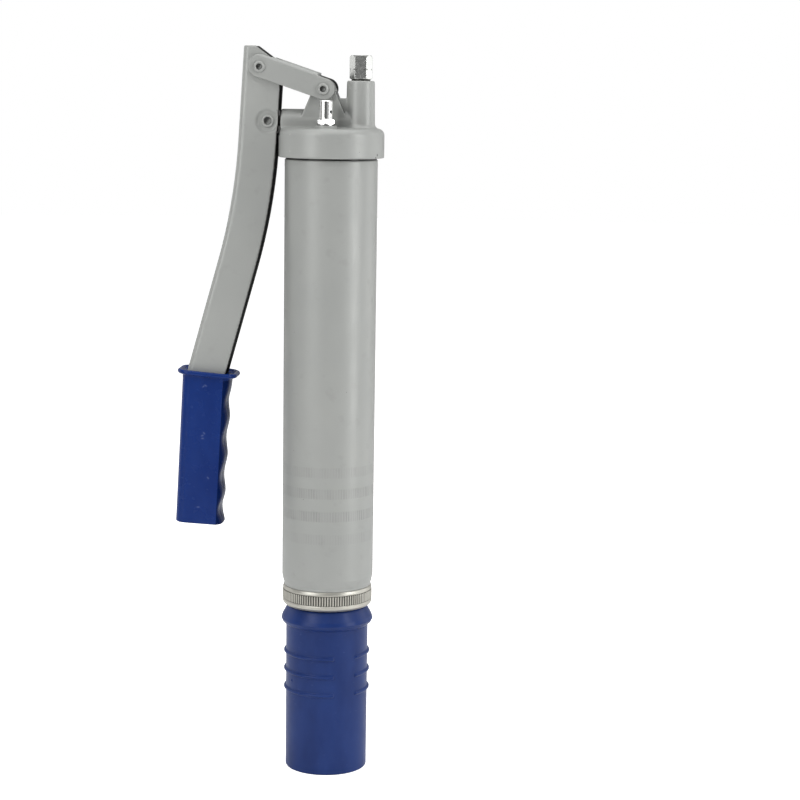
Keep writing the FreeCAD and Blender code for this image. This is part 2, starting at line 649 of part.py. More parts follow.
def pump_tube_parts():
    r = PUMP_TUBE_R
    inside = r - PUMP_TUBE_WALL
    foot = PUMP_TUBE_FOOT_Z
    save(tube(r, inside, foot, 115.3), "pump_cylinder")
    gland = spin([(ROD_R + 0.06, foot - 4), (22.6, foot - 4), (22.6, foot), (inside - SNUG, foot),
                  (inside - SNUG, foot + 4), (ROD_R + 0.06, foot + 4)])
    save(gland, "pump_gland")


def pump_sleeve():
    """Blue pump handle: a cup with ribs and a rounded collar, sliding over the pump tube."""
    foot_r, top_r, top = SLEEVE_R_FOOT, SLEEVE_R_TOP, SLEEVE_TOP_Z
    inner = foot_r - SLEEVE_WALL
    guide = PUMP_TUBE_R + 0.3
    body = spin([(0, 0), (foot_r - 1.0, 0), ((foot_r - 0.29, 0.29), (foot_r, 1.0)),
                 (top_r - 0.2, 98.9), (29.9, 101.6), ((FLANGE_R, FLANGE_Z), (30.35, 105.4)),
                 (26.7, 111.5), (26.1, top), (guide + 0.6, top), (guide, top - 0.6),
                 (guide, 104.0), (inner, 101.0), (inner, FLOOR_T), (INSERT_R + 4.0, FLOOR_T),
                 (INSERT_R + 3.0, INSERT_TOP_Z), (INSERT_R + SNUG, INSERT_TOP_Z),
                 (INSERT_R + SNUG, 3.0), (0, 3.0)])
    for level in RIB_LEVELS:
        rib = Part.makeTorus(27.9, 1.1, V(0, 0, level))
        body = body.fuse(rib.cut(rib_windows(level)).cut(rod(26.5, level - 2, level + 2)))
    return body


def rib_windows(level):
    """Wedges, front and back, in which a rib is left out."""
    wedges = []
    for turn in (0, 180):
        corners = [V(0, 0, level - 2)]
        for degrees in (RIB_WINDOW[0] + turn, RIB_WINDOW[1] + turn):
            angle = math.radians(degrees)
            corners.append(V(40 * math.cos(angle), 40 * math.sin(angle), level - 2))
        corners.append(corners[0])
        wedges.append(Part.Face(Part.makePolygon(corners)).extrude(V(0, 0, 4)))
    return wedges[0].fuse(wedges[1])


def pump_handle_parts():
    save(pump_sleeve(), "pump_sleeve")
    top = PISTON_Z + PISTON_T
    save(rod(ROD_R, 4.0, top), "pump_rod")
    insert = tube(INSERT_R, ROD_R + SNUG, 4.0, INSERT_TOP_Z).fuse(rod(INSERT_R, 3.0, 4.0))
    groove = tube(INSERT_R + 1, INSERT_R - 0.7, 7.5, 9.0)
    save(insert.cut(groove), "rod_insert")
    nut = hexagon(13.0, INSERT_TOP_Z, INSERT_TOP_Z + 5.0, 0, 0, chamfer=0.4)
    save(nut.cut(rod(ROD_R + SNUG, INSERT_TOP_Z - 1, INSERT_TOP_Z + 6.0)), "rod_locknut")
    middle = (PISTON_Z + top) / 2
    piston = spin([(ROD_R + SNUG, PISTON_Z), (19.6, PISTON_Z), (19.6, middle - 1.1),
                   (17.9, middle - 1.1), (17.9, middle + 1.1), (19.6, middle + 1.1), (19.6, top),
                   (ROD_R + SNUG, top)])
    save(piston, "pump_piston")
    save(o_ring(18.9, 1.0, middle), "pump_seal")


# ---------------------------------------------------------------- build every node
save(head_casting(), "head_casting")
save(outlet_fitting(), "outlet_fitting")
outlet_valve()
filler_parts()
vent_parts()

save(barrel_tube(), "barrel_tube")
save(tube(30.5, 26.5, BARREL_TOP_Z, HEAD_CEILING_Z), "barrel_gasket")
save(cartridge_tube(), "cartridge_tube")
follower_parts()

save(plunger(), "plunger")
plunger_guides()

save(link(), "link")
save(pivot_rivet(PIN_C, LINK_HALF), "head_pin")
save(pivot_rivet(PIN_B, LINK_HALF), "link_pin")
save(lever(), "lever")
save(pivot_rivet(PIN_A, LEVER_HALF - 1.5), "plunger_pin")
save(lever_grip(), "lever_grip")

save(knurled_ring(), "knurled_ring")
save(base_plug(), "base_plug")
save(o_ring(24.5, 1.0, 121.0), "base_seal")
save(air_valve(), "air_valve")
pump_tube_parts()
pump_handle_parts()
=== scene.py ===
"""Looks of the lever grease gun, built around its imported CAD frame.

Sizes, points and heights are millimetres in the part's own frame; Blender objects are in metres.
An outline is a list of (radius, height) corners, each with an optional fillet radius.
"""

import json
import math

import bmesh
import bpy
import numpy as np
from mathutils import Matrix, Vector, noise


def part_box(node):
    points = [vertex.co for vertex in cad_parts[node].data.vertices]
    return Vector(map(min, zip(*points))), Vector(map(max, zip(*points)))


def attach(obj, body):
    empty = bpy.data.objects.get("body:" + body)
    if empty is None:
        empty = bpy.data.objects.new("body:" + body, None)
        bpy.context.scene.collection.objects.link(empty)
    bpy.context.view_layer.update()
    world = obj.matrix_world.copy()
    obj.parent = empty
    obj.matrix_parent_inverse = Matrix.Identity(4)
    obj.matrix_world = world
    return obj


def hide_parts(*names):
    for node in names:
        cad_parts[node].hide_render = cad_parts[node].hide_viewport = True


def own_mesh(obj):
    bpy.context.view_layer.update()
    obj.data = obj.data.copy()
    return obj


MM = 0.001
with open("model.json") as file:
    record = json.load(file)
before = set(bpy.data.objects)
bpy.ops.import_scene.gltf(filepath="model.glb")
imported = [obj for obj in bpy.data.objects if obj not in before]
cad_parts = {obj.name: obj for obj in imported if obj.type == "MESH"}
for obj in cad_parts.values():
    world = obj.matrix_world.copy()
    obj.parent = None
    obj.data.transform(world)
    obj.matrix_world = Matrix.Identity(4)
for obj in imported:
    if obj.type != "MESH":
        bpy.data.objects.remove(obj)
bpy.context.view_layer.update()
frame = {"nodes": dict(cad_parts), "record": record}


def box_mm(node):
    """Lowest and highest corners of a CAD node, in millimetres."""
    return [np.array(corner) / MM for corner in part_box(node)]


def middle_mm(node):
    """Middle of a CAD node's box, in millimetres."""
    return sum(box_mm(node)) / 2


# ---------------------------------------------------------------- materials
class Finish:
    """Builds one procedural material; sizes are in millimetres on the object."""

    def __init__(self, name, **sockets):
        self.material = bpy.data.materials.new(name)
        self.material.use_nodes = True
        self.nodes = self.material.node_tree.nodes
        self.links = self.material.node_tree.links
        self.shader = self.nodes["Principled BSDF"]
        self.place = self.nodes.new("ShaderNodeTexCoord").outputs["Object"]
        for socket, value in sockets.items():
            self.shader.inputs[socket.replace("_", " ")].default_value = value

    def stretched(self, x, y, z):
        """Object coordinates with each axis scaled, for grain that runs one way."""
        node = self.nodes.new("ShaderNodeMapping")
        node.inputs["Scale"].default_value = (x, y, z)
        self.links.new(self.place, node.inputs["Vector"])
        return node.outputs["Vector"]

    def noise(self, size, detail, place=None):
        """Cloudy values from 0 to 1, with spots of a given size."""
        node = self.nodes.new("ShaderNodeTexNoise")
        node.inputs["Scale"].default_value = 1.0 / (size * MM)
        node.inputs["Detail"].default_value = detail
        self.links.new(place or self.place, node.inputs["Vector"])
        return node.outputs["Fac"]

    def specks(self, spacing, size, share):
        """Mask of small round specks of a given size, in a share of the cells they could be in."""
        node = self.nodes.new("ShaderNodeTexVoronoi")
        node.inputs["Scale"].default_value = 1.0 / (spacing * MM)
        self.links.new(self.place, node.inputs["Vector"])
        near = self.ramp(node.outputs["Distance"], (0.4 * size / spacing, 1), (size / spacing, 0))
        split = self.nodes.new("ShaderNodeSeparateColor")
        self.links.new(node.outputs["Color"], split.inputs["Color"])
        picked = self.ramp(split.outputs["Red"], (share, 1), (share + 0.01, 0))
        return self.maths("MULTIPLY", near, picked)

    def ramp(self, source, low, high):
        """Remap between two (input, output) pairs, clamped."""
        node = self.nodes.new("ShaderNodeMapRange")
        for socket, value in zip(("From Min", "To Min", "From Max", "To Max"), low + high):
            node.inputs[socket].default_value = value
        self.links.new(source, node.inputs["Value"])
        return node.outputs["Result"]

    def maths(self, operation, first, second):
        node = self.nodes.new("ShaderNodeMath")
        node.operation = operation
        for value, socket in ((first, node.inputs[0]), (second, node.inputs[1])):
            if isinstance(value, (int, float)):
                socket.default_value = value
            else:
                self.links.new(value, socket)
        return node.outputs["Value"]

    def mix(self, share, first, second):
        """Blend two colours, each a linear RGB tuple or a socket."""
        node = self.nodes.new("ShaderNodeMix")
        node.data_type = "RGBA"
        self.links.new(share, node.inputs[0])
        for value, socket in ((first, node.inputs[6]), (second, node.inputs[7])):
            if isinstance(value, tuple):
                socket.default_value = value + (1.0,)
            else:
                self.links.new(value, socket)
        return node.outputs[2]

    def edges(self, low, high):
        """Mask of outward edges, rising between two values of pointiness."""
        node = self.nodes.new("ShaderNodeNewGeometry")
        return self.ramp(node.outputs["Pointiness"], (low, 0), (high, 1))

    def painted(self, name):
        """A mask stored on the piece's vertices; 0 where the piece has none."""
        node = self.nodes.new("ShaderNodeAttribute")
        node.attribute_name = name
        return node.outputs["Fac"]

    def stained(self, colour, dark):
        """Darken a colour where the piece's own shade mask says so."""
        return self.mix(self.painted("shade"), colour, dark)

    def feed(self, socket, source):
        """Drive one of the shader's inputs."""
        self.links.new(source, self.shader.inputs[socket])

    def bump(self, *layers):
        """Stack (height source, height in millimetres) layers of fine relief."""
        normal = None
        for source, height in layers:
            node = self.nodes.new("ShaderNodeBump")
            node.inputs["Distance"].default_value = height * MM
            self.links.new(source, node.inputs["Height"])
            if normal is not None:
                self.links.new(normal, node.inputs["Normal"])
            normal = node.outputs["Normal"]
        self.feed("Normal", normal)


def enamel():
    """Silver-grey enamel: soft gloss, faint orange peel, thin on outward edges."""
    f = Finish("grey_paint", Metallic=0.15, IOR=1.5)
    cloud = f.noise(38, 3)
    peel = f.noise(1.7, 2)
    body = f.mix(cloud, (0.315, 0.325, 0.315), (0.365, 0.372, 0.355))
    dirt_and_painted_shade = f.ramp(f.noise(9, 5), (0.60, 0), (0.78, 0.35))
    body = f.mix(dirt_and_painted_shade, body, (0.26, 0.265, 0.25))
    body = f.mix(f.edges(0.53, 0.62), body, (0.42, 0.42, 0.40))
    body = f.mix(f.specks(7.0, 0.35, 0.10), body, (0.15, 0.15, 0.14))
    # The shade mask darkens the paint: painted shade in gaps, channels, hollows and knurl, with dark
    # sheared edges and a few pits.
    f.feed("Base Color", f.stained(body, (0.012, 0.013, 0.012)))
    f.feed("Roughness", f.ramp(f.noise(14, 3), (0.3, 0.36), (0.7, 0.46)))
    f.bump((peel, 0.012), (f.noise(0.45, 1), 0.0015))
    return f.material


def zinc(name, dark, light, rough_low, rough_high, turned, pitted, metallic=1.0,
         dirt_and_painted_shade=(0.030, 0.028, 0.024)):
    """Zinc plate over turned steel: turned and pitted are the heights of its marks."""
    f = Finish(name, Metallic=metallic)
    # The shade mask darkens the zinc: painted shade and painted dark reflections.
    f.feed("Base Color", f.stained(f.mix(f.noise(6, 4), dark, light), dirt_and_painted_shade))
    f.feed("Roughness", f.ramp(f.noise(2.2, 4), (0.3, rough_low), (0.75, rough_high)))
    lathe_marks = f.noise(0.30, 2, f.stretched(0.15, 0.15, 1.0))
    f.bump((lathe_marks, turned), (f.noise(0.5, 2), pitted))
    return f.material


def bare_steel(name, dark, light, rough_low, rough_high, grain=(0.15, 0.15, 1.0)):
    """Unplated metal with fine marks that run one way."""
    f = Finish(name, Metallic=1.0)
    f.feed("Base Color", f.mix(f.noise(4, 3), dark, light))
    f.feed("Roughness", f.ramp(f.noise(1.6, 3), (0.3, rough_low), (0.7, rough_high)))
    f.bump((f.noise(0.25, 2, f.stretched(*grain)), 0.003))
    return f.material


def brass():
    """Turned brass."""
    f = Finish("brass", Metallic=1.0)
    f.feed("Base Color", f.mix(f.noise(5, 3), (0.55, 0.36, 0.11), (0.72, 0.50, 0.20)))
    f.feed("Roughness", f.ramp(f.noise(1.5, 3), (0.3, 0.22), (0.7, 0.38)))
    f.bump((f.noise(0.3, 2, f.stretched(1.0, 0.15, 0.15)), 0.003))
    return f.material


def rubber():
    """Matt black rubber with a slightly uneven skin."""
    f = Finish("black_rubber")
    f.feed("Base Color", f.mix(f.noise(5, 4), (0.010, 0.010, 0.010), (0.030, 0.030, 0.029)))
    f.feed("Roughness", f.ramp(f.noise(2, 3), (0.3, 0.55), (0.7, 0.80)))
    f.bump((f.noise(0.6, 3), 0.010))
    return f.material


def moulded(name, dark, light, speck, rough_low, rough_high, gloss=0.35):
    """Moulded plastic: even colour, flow clouds, a few pale specks, fine satin grain."""
    f = Finish(name, IOR=1.46)
    # The shade mask also dulls the gloss where shade is painted.
    f.feed("Specular IOR Level", f.ramp(f.painted("shade"), (0, gloss), (1, 0.03)))
    flow = f.noise(16, 4, f.stretched(1.0, 1.0, 0.45))
    body = f.mix(f.ramp(flow, (0.35, 0), (0.65, 1)), dark, light)
    body = f.mix(f.specks(9.0, 0.45, 0.16), body, speck)
    scuff = f.ramp(f.noise(3.5, 6, f.stretched(1.0, 1.0, 2.5)), (0.66, 0), (0.80, 0.30))
    body = f.mix(scuff, body, speck)
    # Pale strokes from the fleck mask are painted highlights.
    body = f.mix(f.painted("fleck"), body, (0.30, 0.36, 0.58))
    # The shade mask darkens the colour: painted shade.
    f.feed("Base Color", f.stained(body, tuple(0.35 * channel for channel in dark)))
    f.feed("Roughness", f.ramp(f.noise(7, 4), (0.3, rough_low), (0.7, rough_high)))
    f.bump((f.noise(5, 2), 0.020), (f.noise(0.35, 2), 0.0025))
    return f.material


FINISHES = {
    "grey_paint": enamel(),
    "bright_zinc": zinc("bright_zinc", (0.56, 0.57, 0.55), (0.74, 0.75, 0.73), 0.20, 0.32,
                        turned=0.003, pitted=0.008),
    "new_zinc": zinc("new_zinc", (0.93, 0.93, 0.92), (0.98, 0.98, 0.97), 0.18, 0.26,
                     turned=0.0006, pitted=0.0005, metallic=0.85, dirt_and_painted_shade=(0.05, 0.05, 0.05)),
    "dull_zinc": zinc("dull_zinc", (0.46, 0.45, 0.40), (0.58, 0.57, 0.52), 0.40, 0.50,
                      turned=0.0012, pitted=0.0010),
    "oiled_steel": bare_steel("oiled_steel", (0.020, 0.020, 0.019), (0.05, 0.05, 0.048), 0.3, 0.5),
    "dark_steel": bare_steel("dark_steel", (0.05, 0.05, 0.05), (0.11, 0.11, 0.10), 0.35, 0.5),
    "polished_steel": bare_steel("polished_steel", (0.66, 0.66, 0.66), (0.80, 0.80, 0.79),
                                 0.08, 0.16, (1.0, 0.15, 0.15)),
    "spring_steel": bare_steel("spring_steel", (0.22, 0.22, 0.22), (0.38, 0.38, 0.37), 0.25, 0.4),
    "brass": brass(),
    "black_rubber": rubber(),
    "white_plastic": moulded("white_plastic", (0.72, 0.72, 0.69), (0.80, 0.80, 0.77),
                             (0.55, 0.54, 0.50), 0.35, 0.5),
    "plain_aluminium": bare_steel("plain_aluminium", (0.55, 0.56, 0.57), (0.70, 0.70, 0.71),
                                  0.25, 0.4),
    "black_plastic": moulded("black_plastic", (0.012, 0.012, 0.013), (0.022, 0.022, 0.024),
                             (0.06, 0.06, 0.06), 0.35, 0.5),
    "blue_plastic": moulded("blue_plastic", (0.009, 0.027, 0.128), (0.013, 0.036, 0.158),
                            (0.08, 0.12, 0.30), 0.30, 0.40, gloss=0.24),
    "grip_plastic": moulded("grip_plastic", (0.002, 0.019, 0.130), (0.005, 0.027, 0.158),
                            (0.07, 0.12, 0.34), 0.20, 0.30, gloss=0.20),
}


# ---------------------------------------------------------------- mesh helpers
def piece(name, vertices, faces, body, slot, *nodes, finish=None):
    """A new piece in place of CAD nodes, from vertices in millimetres."""
    mesh = bpy.data.meshes.new(name)
    mesh.from_pydata((np.asarray(vertices) * MM).tolist(), [], faces)
    return place_piece(name, mesh, body, slot, *nodes, finish=finish)


def place_piece(name, mesh, body, slot, *nodes, finish=None):
    """Finish a mesh and ride it on its body, in place of CAD nodes; the finish may differ."""
    mesh.shade_smooth()
    mesh.materials.clear()
    mesh.materials.append(FINISHES[finish or slot])
    thing = bpy.data.objects.new(name, mesh)
    bpy.context.scene.collection.objects.link(thing)
    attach(thing, body)
    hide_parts(*nodes)
    return thing


def fillet_arc(before, corner, after, radius):
    """Points of the arc that rounds a corner between its neighbours, or the corner itself."""
    nearly_straight, degrees_per_step = 3.1, 11
    reach_before, reach_after = np.linalg.norm(before - corner), np.linalg.norm(after - corner)
    before, after = (before - corner) / reach_before, (after - corner) / reach_after
    opening = math.acos(max(-1.0, min(1.0, float(before @ after))))
    if radius <= 0 or opening > nearly_straight:
        return [corner]
    cut = min(radius / math.tan(opening / 2), 0.48 * reach_before, 0.48 * reach_after)
    radius = cut * math.tan(opening / 2)
    middle = (before + after) / np.linalg.norm(before + after)
    centre = corner + middle * radius / math.sin(opening / 2)
    start, end = corner + before * cut - centre, corner + after * cut - centre
    turn = math.atan2(start[0] * end[1] - start[1] * end[0], float(start @ end))
    steps = max(3, int(math.degrees(abs(turn)) / degrees_per_step))
    arc = []
    for k in range(steps + 1):
        c, s = math.cos(turn * k / steps), math.sin(turn * k / steps)
        arc.append(centre + np.array([c * start[0] - s * start[1], s * start[0] + c * start[1]]))
    return arc


def rounded(corners, step=3.0):
    """Dense open outline through (r, z) or (r, z, fillet) corners, with no piece over step.

    A long straight also gets a point near each end, so that it shades flat.
    """
    points = [np.array(corner[:2], float) for corner in corners]
    bent = [points[0]]
    for i in range(1, len(points) - 1):
        radius = corners[i][2] if len(corners[i]) > 2 else 0.0
        bent += fillet_arc(points[i - 1], points[i], points[i + 1], radius)
    bent.append(points[-1])
    long, end_gap = 1.2, 0.25
    dense = [bent[0]]
    for a, b in zip(bent, bent[1:]):
        length = float(np.linalg.norm(b - a))
        count = max(1, math.ceil(length / step))
        shares = [k / count for k in range(1, count + 1)]
        if length > long:
            shares = sorted(set([end_gap / length, 1 - end_gap / length] + shares))
        dense += [a + (b - a) * share for share in shares]
    return np.array(dense)


def grid_faces(rows, segments, closed_rows):
    """Quads of a grid that wraps along its segments, and along its rows if closed."""
    faces = []
    last = rows if closed_rows else rows - 1
    for i in range(last):
        a, b = i * segments, ((i + 1) % rows) * segments
        for k in range(segments):
            n = (k + 1) % segments
            faces.append((a + k, a + n, b + n, b + k))
    return faces


def close_ends(loops, faces):
    """Vertices of loops of equal length, with a fan of faces added over the first and last."""
    count = len(loops[0])
    vertices = np.vstack([*loops, loops[0].mean(0), loops[-1].mean(0)])
    first_middle, last_middle = len(vertices) - 2, len(vertices) - 1
    last = (len(loops) - 1) * count
    for k in range(count):
        n = (k + 1) % count
        faces.append((first_middle, n, k))
        faces.append((last_middle, last + k, last + n))
    return vertices


def lathe(name, outline, segments, body, slot, *nodes, at=(0.0, 0.0), warp=None, axis="Z",
          finish=None):
    """Solid of revolution of an (r, z) outline; warp(r, z, angle) may move its surface.

    The outline runs from the axis to the axis, or closes on itself around a bore. The axis is
    parallel to Z through (x, y), or parallel to Y through (x, z).
    """
    outline = np.asarray(outline, float)
    capped = outline[0][0] < 1e-6
    if capped:
        outline = outline[1:-1]
    elif np.linalg.norm(outline[0] - outline[-1]) < 1e-6:
        outline = outline[:-1]
    angle = np.linspace(0, 2 * math.pi, segments, endpoint=False)
    r = np.repeat(outline[:, :1], segments, 1)
    z = np.repeat(outline[:, 1:], segments, 1)
    if warp:
        r, z = warp(r, z, np.broadcast_to(angle, r.shape))
    first, second = r * np.cos(angle) + at[0], r * np.sin(angle) + at[1]
    grid = np.stack([first, z, second] if axis == "Y" else [first, second, z], -1)
    faces = grid_faces(len(outline), segments, not capped)
    vertices = close_ends(grid, faces) if capped else grid.reshape(-1, 3)
    thing = piece(name, vertices, faces, body, slot, *nodes, finish=finish)
    tidy_normals(thing)
    return thing


def tidy_normals(thing):
    """Make every face look outwards."""
    work = bmesh.new()
    work.from_mesh(thing.data)
    bmesh.ops.recalc_face_normals(work, faces=work.faces)
    work.to_mesh(thing.data)
    work.free()
    thing.data.shade_smooth()


def stain(thing, rule, mask="shade"):
    """Store a mask on the vertices: rule(points in mm, normals) gives 0 to 1."""
    vertices = thing.data.vertices
    points, normals = np.empty(3 * len(vertices)), np.empty(3 * len(vertices))
    vertices.foreach_get("co", points)
    vertices.foreach_get("normal", normals)
    strength = np.clip(rule(points.reshape(-1, 3) / MM, normals.reshape(-1, 3)), 0, 1)
    layer = thing.data.attributes.new(mask, "FLOAT", "POINT")
    layer.data.foreach_set("value", strength.astype(np.float32))


def soft_copy(name, node, voxel, rounds, body, slot, relief=0.0):
    """Copy of a CAD node with its hard edges softened, as cast or pressed metal has them.

    It is rebuilt from voxels and smoothed for some rounds; relief is the height of a cast skin.
    Voxel and relief are in millimetres.
    """
    broad, fine = 2.4 * MM, 0.9 * MM
    mesh = frame["nodes"][node].data.copy()
    work = bmesh.new()
    work.from_mesh(mesh)
    bmesh.ops.remove_doubles(work, verts=work.verts, dist=2e-6)
    work.to_mesh(mesh)
    work.free()
    rough = bpy.data.objects.new(name + "_rough", mesh)
    bpy.context.scene.collection.objects.link(rough)
    remesh = rough.modifiers.new("remesh", "REMESH")
    remesh.mode = "VOXEL"
    remesh.voxel_size = voxel * MM
    smooth = rough.modifiers.new("smooth", "SMOOTH")
    smooth.factor = 0.5
    smooth.iterations = rounds
    settled = bpy.context.evaluated_depsgraph_get()
    result = bpy.data.meshes.new_from_object(rough.evaluated_get(settled))
    bpy.data.objects.remove(rough)
    if relief:
        spots = [v.co.copy() for v in result.vertices]
        outward = [v.normal.copy() for v in result.vertices]
        for vertex, spot, normal in zip(result.vertices, spots, outward):
            swell = noise.noise(spot / broad) + 0.6 * noise.noise(spot / fine)
            vertex.co = spot + normal * swell * relief * MM
    result.name = name
    return place_piece(name, result, body, slot, node)


def soft_min(a, b, blend):
    """Smaller of two radii, with the crease between them rounded."""
    return -blend * np.log(np.exp(-a / blend) + np.exp(-b / blend))


def hexagon_wall(flat, turn, angle):
    """Radius of a hexagon, a given size across its flats and turned by some degrees."""
    side = math.pi / 3
    from_corner = (angle - math.radians(turn) + side / 2) % side - side / 2
    return (flat / 2) / np.cos(np.abs(from_corner) - side / 2)


def hexagonal(flat, z_low, z_high, turn, chamfer, soft):
    """Warp that turns a round flank between two levels into a chamfered hexagon."""
    def warp(r, z, angle):
        walls = hexagon_wall(flat, turn, angle)
        ends = np.minimum(z - z_low, z_high - z)
        cone = flat / 2 + 2.0 * ends + 0.3 - chamfer
        shape = soft_min(walls, np.minimum(cone, r), soft)
        return np.where(r > flat / 2, shape, r), z
    return warp


def smoothstep(low, high, value):
    """Smooth rise from 0 at low to 1 at high."""
    t = np.clip((value - low) / (high - low), 0, 1)
    return t * t * (3 - 2 * t)


# ---------------------------------------------------------------- head, lever and link
def pits(points, places):
    """Small dark pits, each an (x, y, z, radius)."""
    out = np.zeros(len(points))
    for *centre, radius in places:
        apart = np.linalg.norm(points - np.array(centre), axis=1)
        out = np.maximum(out, 0.8 * smoothstep(radius, 0.4 * radius, apart))
    return out


def head_painted_shade_and_pits(points, normals):
    """Painted shade in the gap at the boss's end, on the fin's right slope and in the corner before the
    riser; a few dark pits.
    """
    x, _, z = points.T
    boss_end, boss_low = -33.0, 426
    # Painted shade in the gap between the boss's end and the lever.
    boss = smoothstep(boss_end + 0.6, boss_end, x) * smoothstep(0.3, 0.8, -normals[:, 0]) * (z > boss_low)
    behind_fin = (x > 0.5) * (x < 9) * (z > 439) * (z < 455)
    # Painted shade on the fin's right slope.
    fin = 0.8 * smoothstep(0.55, 0.8, normals[:, 0]) * behind_fin
    # Painted shade in the corner between the fin and the riser.
    riser_x = smoothstep(3.0, 6.0, x) * smoothstep(15.0, 13.6, x)
    riser_z = smoothstep(448.0, 442.0, z) * smoothstep(430.5, 432.5, z)
    corner = 0.30 * riser_x * riser_z * smoothstep(0.1, 0.5, -normals[:, 1])
    small = pits(points, ((31.4, -14.6, 414.3, 1.0), (30.6, -16.2, 412.6, 0.8),
                          (16.2, -9.2, 455.5, 0.6)))
    return np.maximum.reduce([boss, fin, small, corner])


def inner_faces(points, normals, reach):
    """1 on the facing insides of a channel's two cheeks, out to a reach from its middle."""
    inward = -normals[:, 1] * np.sign(points[:, 1])
    return smoothstep(0.4, 0.8, inward) * (np.abs(points[:, 1]) < reach)


def lever_dark_edges_and_painted_shade(points, normals):
    """Dark sheared edges, painted shade inside the channel, and a faint painted shade round the pressed
    hollow, lighter on its lit side.
    """
    slanted_from, cheek_inside, hollow_r = 452, 7.4, 7.3
    slanted = 0.80 * normals[:, 0] + 0.60 * normals[:, 2]
    facing = np.where(points[:, 2] > slanted_from, np.maximum(normals[:, 0], slanted), normals[:, 0])
    dx, _, dz = (points - middle_mm("plunger_pin")).T
    apart = np.hypot(dx, dz) + 1e-6
    lit_side = (dx + dz) / apart
    hollow_edge = (0.15 - 0.10 * lit_side) * np.exp(-((apart - hollow_r) / 0.9) ** 2)
    return np.maximum.reduce([smoothstep(0.55, 0.85, facing),
                              inner_faces(points, normals, cheek_inside), hollow_edge])


def press_dimple(thing):
    """Round hollow pressed into each cheek of the lever about the plunger's rivet."""
    cheek, depth, rim_r, floor_r = box_mm("lever")[1][1], 1.5, 8.1, 6.0
    vertices = thing.data.vertices
    points = np.empty(3 * len(vertices))
    vertices.foreach_get("co", points)
    points = points.reshape(-1, 3) / MM
    dx, _, dz = (points - middle_mm("plunger_pin")).T
    surface = cheek - depth * smoothstep(rim_r, floor_r, np.hypot(dx, dz))
    outside = np.abs(points[:, 1]) > surface
    points[:, 1] = np.where(outside, np.sign(points[:, 1]) * surface, points[:, 1])
    vertices.foreach_set("co", (points * MM).ravel())
    thing.data.update()
    return thing


def link_dark_edges_and_painted_shade(points, normals):
    """Dark sheared edges of the two side plates beyond the end of the web, and painted shade on their
    insides.
    """
    web_end, inside_from, cheek_inside = 38.2, 20, 10.0
    start, end = middle_mm("link_pin")[[0, 2]], middle_mm("head_pin")[[0, 2]]
    along_axis = (end - start) / np.linalg.norm(end - start)
    up_axis = np.array([-along_axis[1], along_axis[0]])
    flat = points[:, [0, 2]] - start
    along, up = flat @ along_axis, flat @ up_axis
    tilt = normals[:, [0, 2]]
    rim = smoothstep(0.5, 0.8, np.maximum(tilt @ up_axis, tilt @ along_axis))
    inner = inner_faces(points, normals, cheek_inside) * (along > inside_from)
    return np.maximum((along > web_end) * (up > -4.5) * rim, inner)


stain(soft_copy("head_shell", "head_casting", 0.49, 2, "gun", "grey_paint", relief=0.02), head_painted_shade_and_pits)
stain(press_dimple(soft_copy("lever_shell", "lever", 0.68, 2, "lever", "grey_paint")), lever_dark_edges_and_painted_shade)
stain(soft_copy("link_shell", "link", 0.30, 2, "link", "grey_paint"), link_dark_edges_and_painted_shade)


def rivet(name, node, body, foot, cup, lip):
    """Rivet along Y: a rolled-over hollow end in front and a low dome behind.

    Cup and lip are the radii of the hollow and of the rolled lip around it; foot is where the
    thick ends begin, from the middle.
    """
    x, _, z = middle_mm(node)
    half = box_mm(node)[1][1]
    crown, shank = (cup + lip) / 2, 3.0
    outline = rounded([
        (0, 2.5 - half), (cup - 0.9, 2.4 - half, 0.6), (cup - 0.1, 1.8 - half, 0.3),
        (cup, 0.5 - half, 0.4), (crown - 0.3, -half, 0.3), (crown + 0.1, -half, 0.3),
        (lip - 0.1, 0.55 - half, 0.5), (lip, 1.15 - half, 0.05), (lip, -foot), (shank, -foot),
        (shank, foot), (3.8, foot, 0.1), (3.7, half - 0.6, 0.35), (3.1, half - 0.1, 0.9),
        (1.2, half, 2.0), (0, half)], 0.8)
    thing = lathe(name, outline, 72, body, "grey_paint", node, at=(x, z), axis="Y")

    def dirt_and_painted_shade(points, _):
        """Painted shade in the hollow, heavier on its upper left where its wall is in shadow, and in the
        corner round the lip.
        """
        dx, dz = points[:, 0] - x, points[:, 2] - z
        r, depth = np.hypot(dx, dz), points[:, 1] + half
        wall = 0.7 * smoothstep(0.5, 1.6, depth) * smoothstep(cup - 1.2, cup - 0.3, r)
        lean = (0.66 * dz - 0.75 * dx) / cup
        floor_painted_shade = 0.22 + 0.62 * smoothstep(-0.35, 0.35, lean)
        hollow = np.maximum(wall, floor_painted_shade) * (r < cup + 0.1) * smoothstep(0.3, 0.6, depth)
        corner = 0.55 * smoothstep(0.6, 1.1, depth) * (r > lip - 0.2)
        return np.where(depth < 4, np.maximum(hollow, corner), 0)

    stain(thing, dirt_and_painted_shade)


LINK_CHEEK, LEVER_CHEEK = 12.0, 7.75
rivet("head_rivet", "head_pin", "link", LINK_CHEEK, 1.95, 3.85)
rivet("link_rivet", "link_pin", "link", LINK_CHEEK, 1.95, 3.85)
rivet("plunger_rivet", "plunger_pin", "lever", LEVER_CHEEK, 2.55, 4.2)


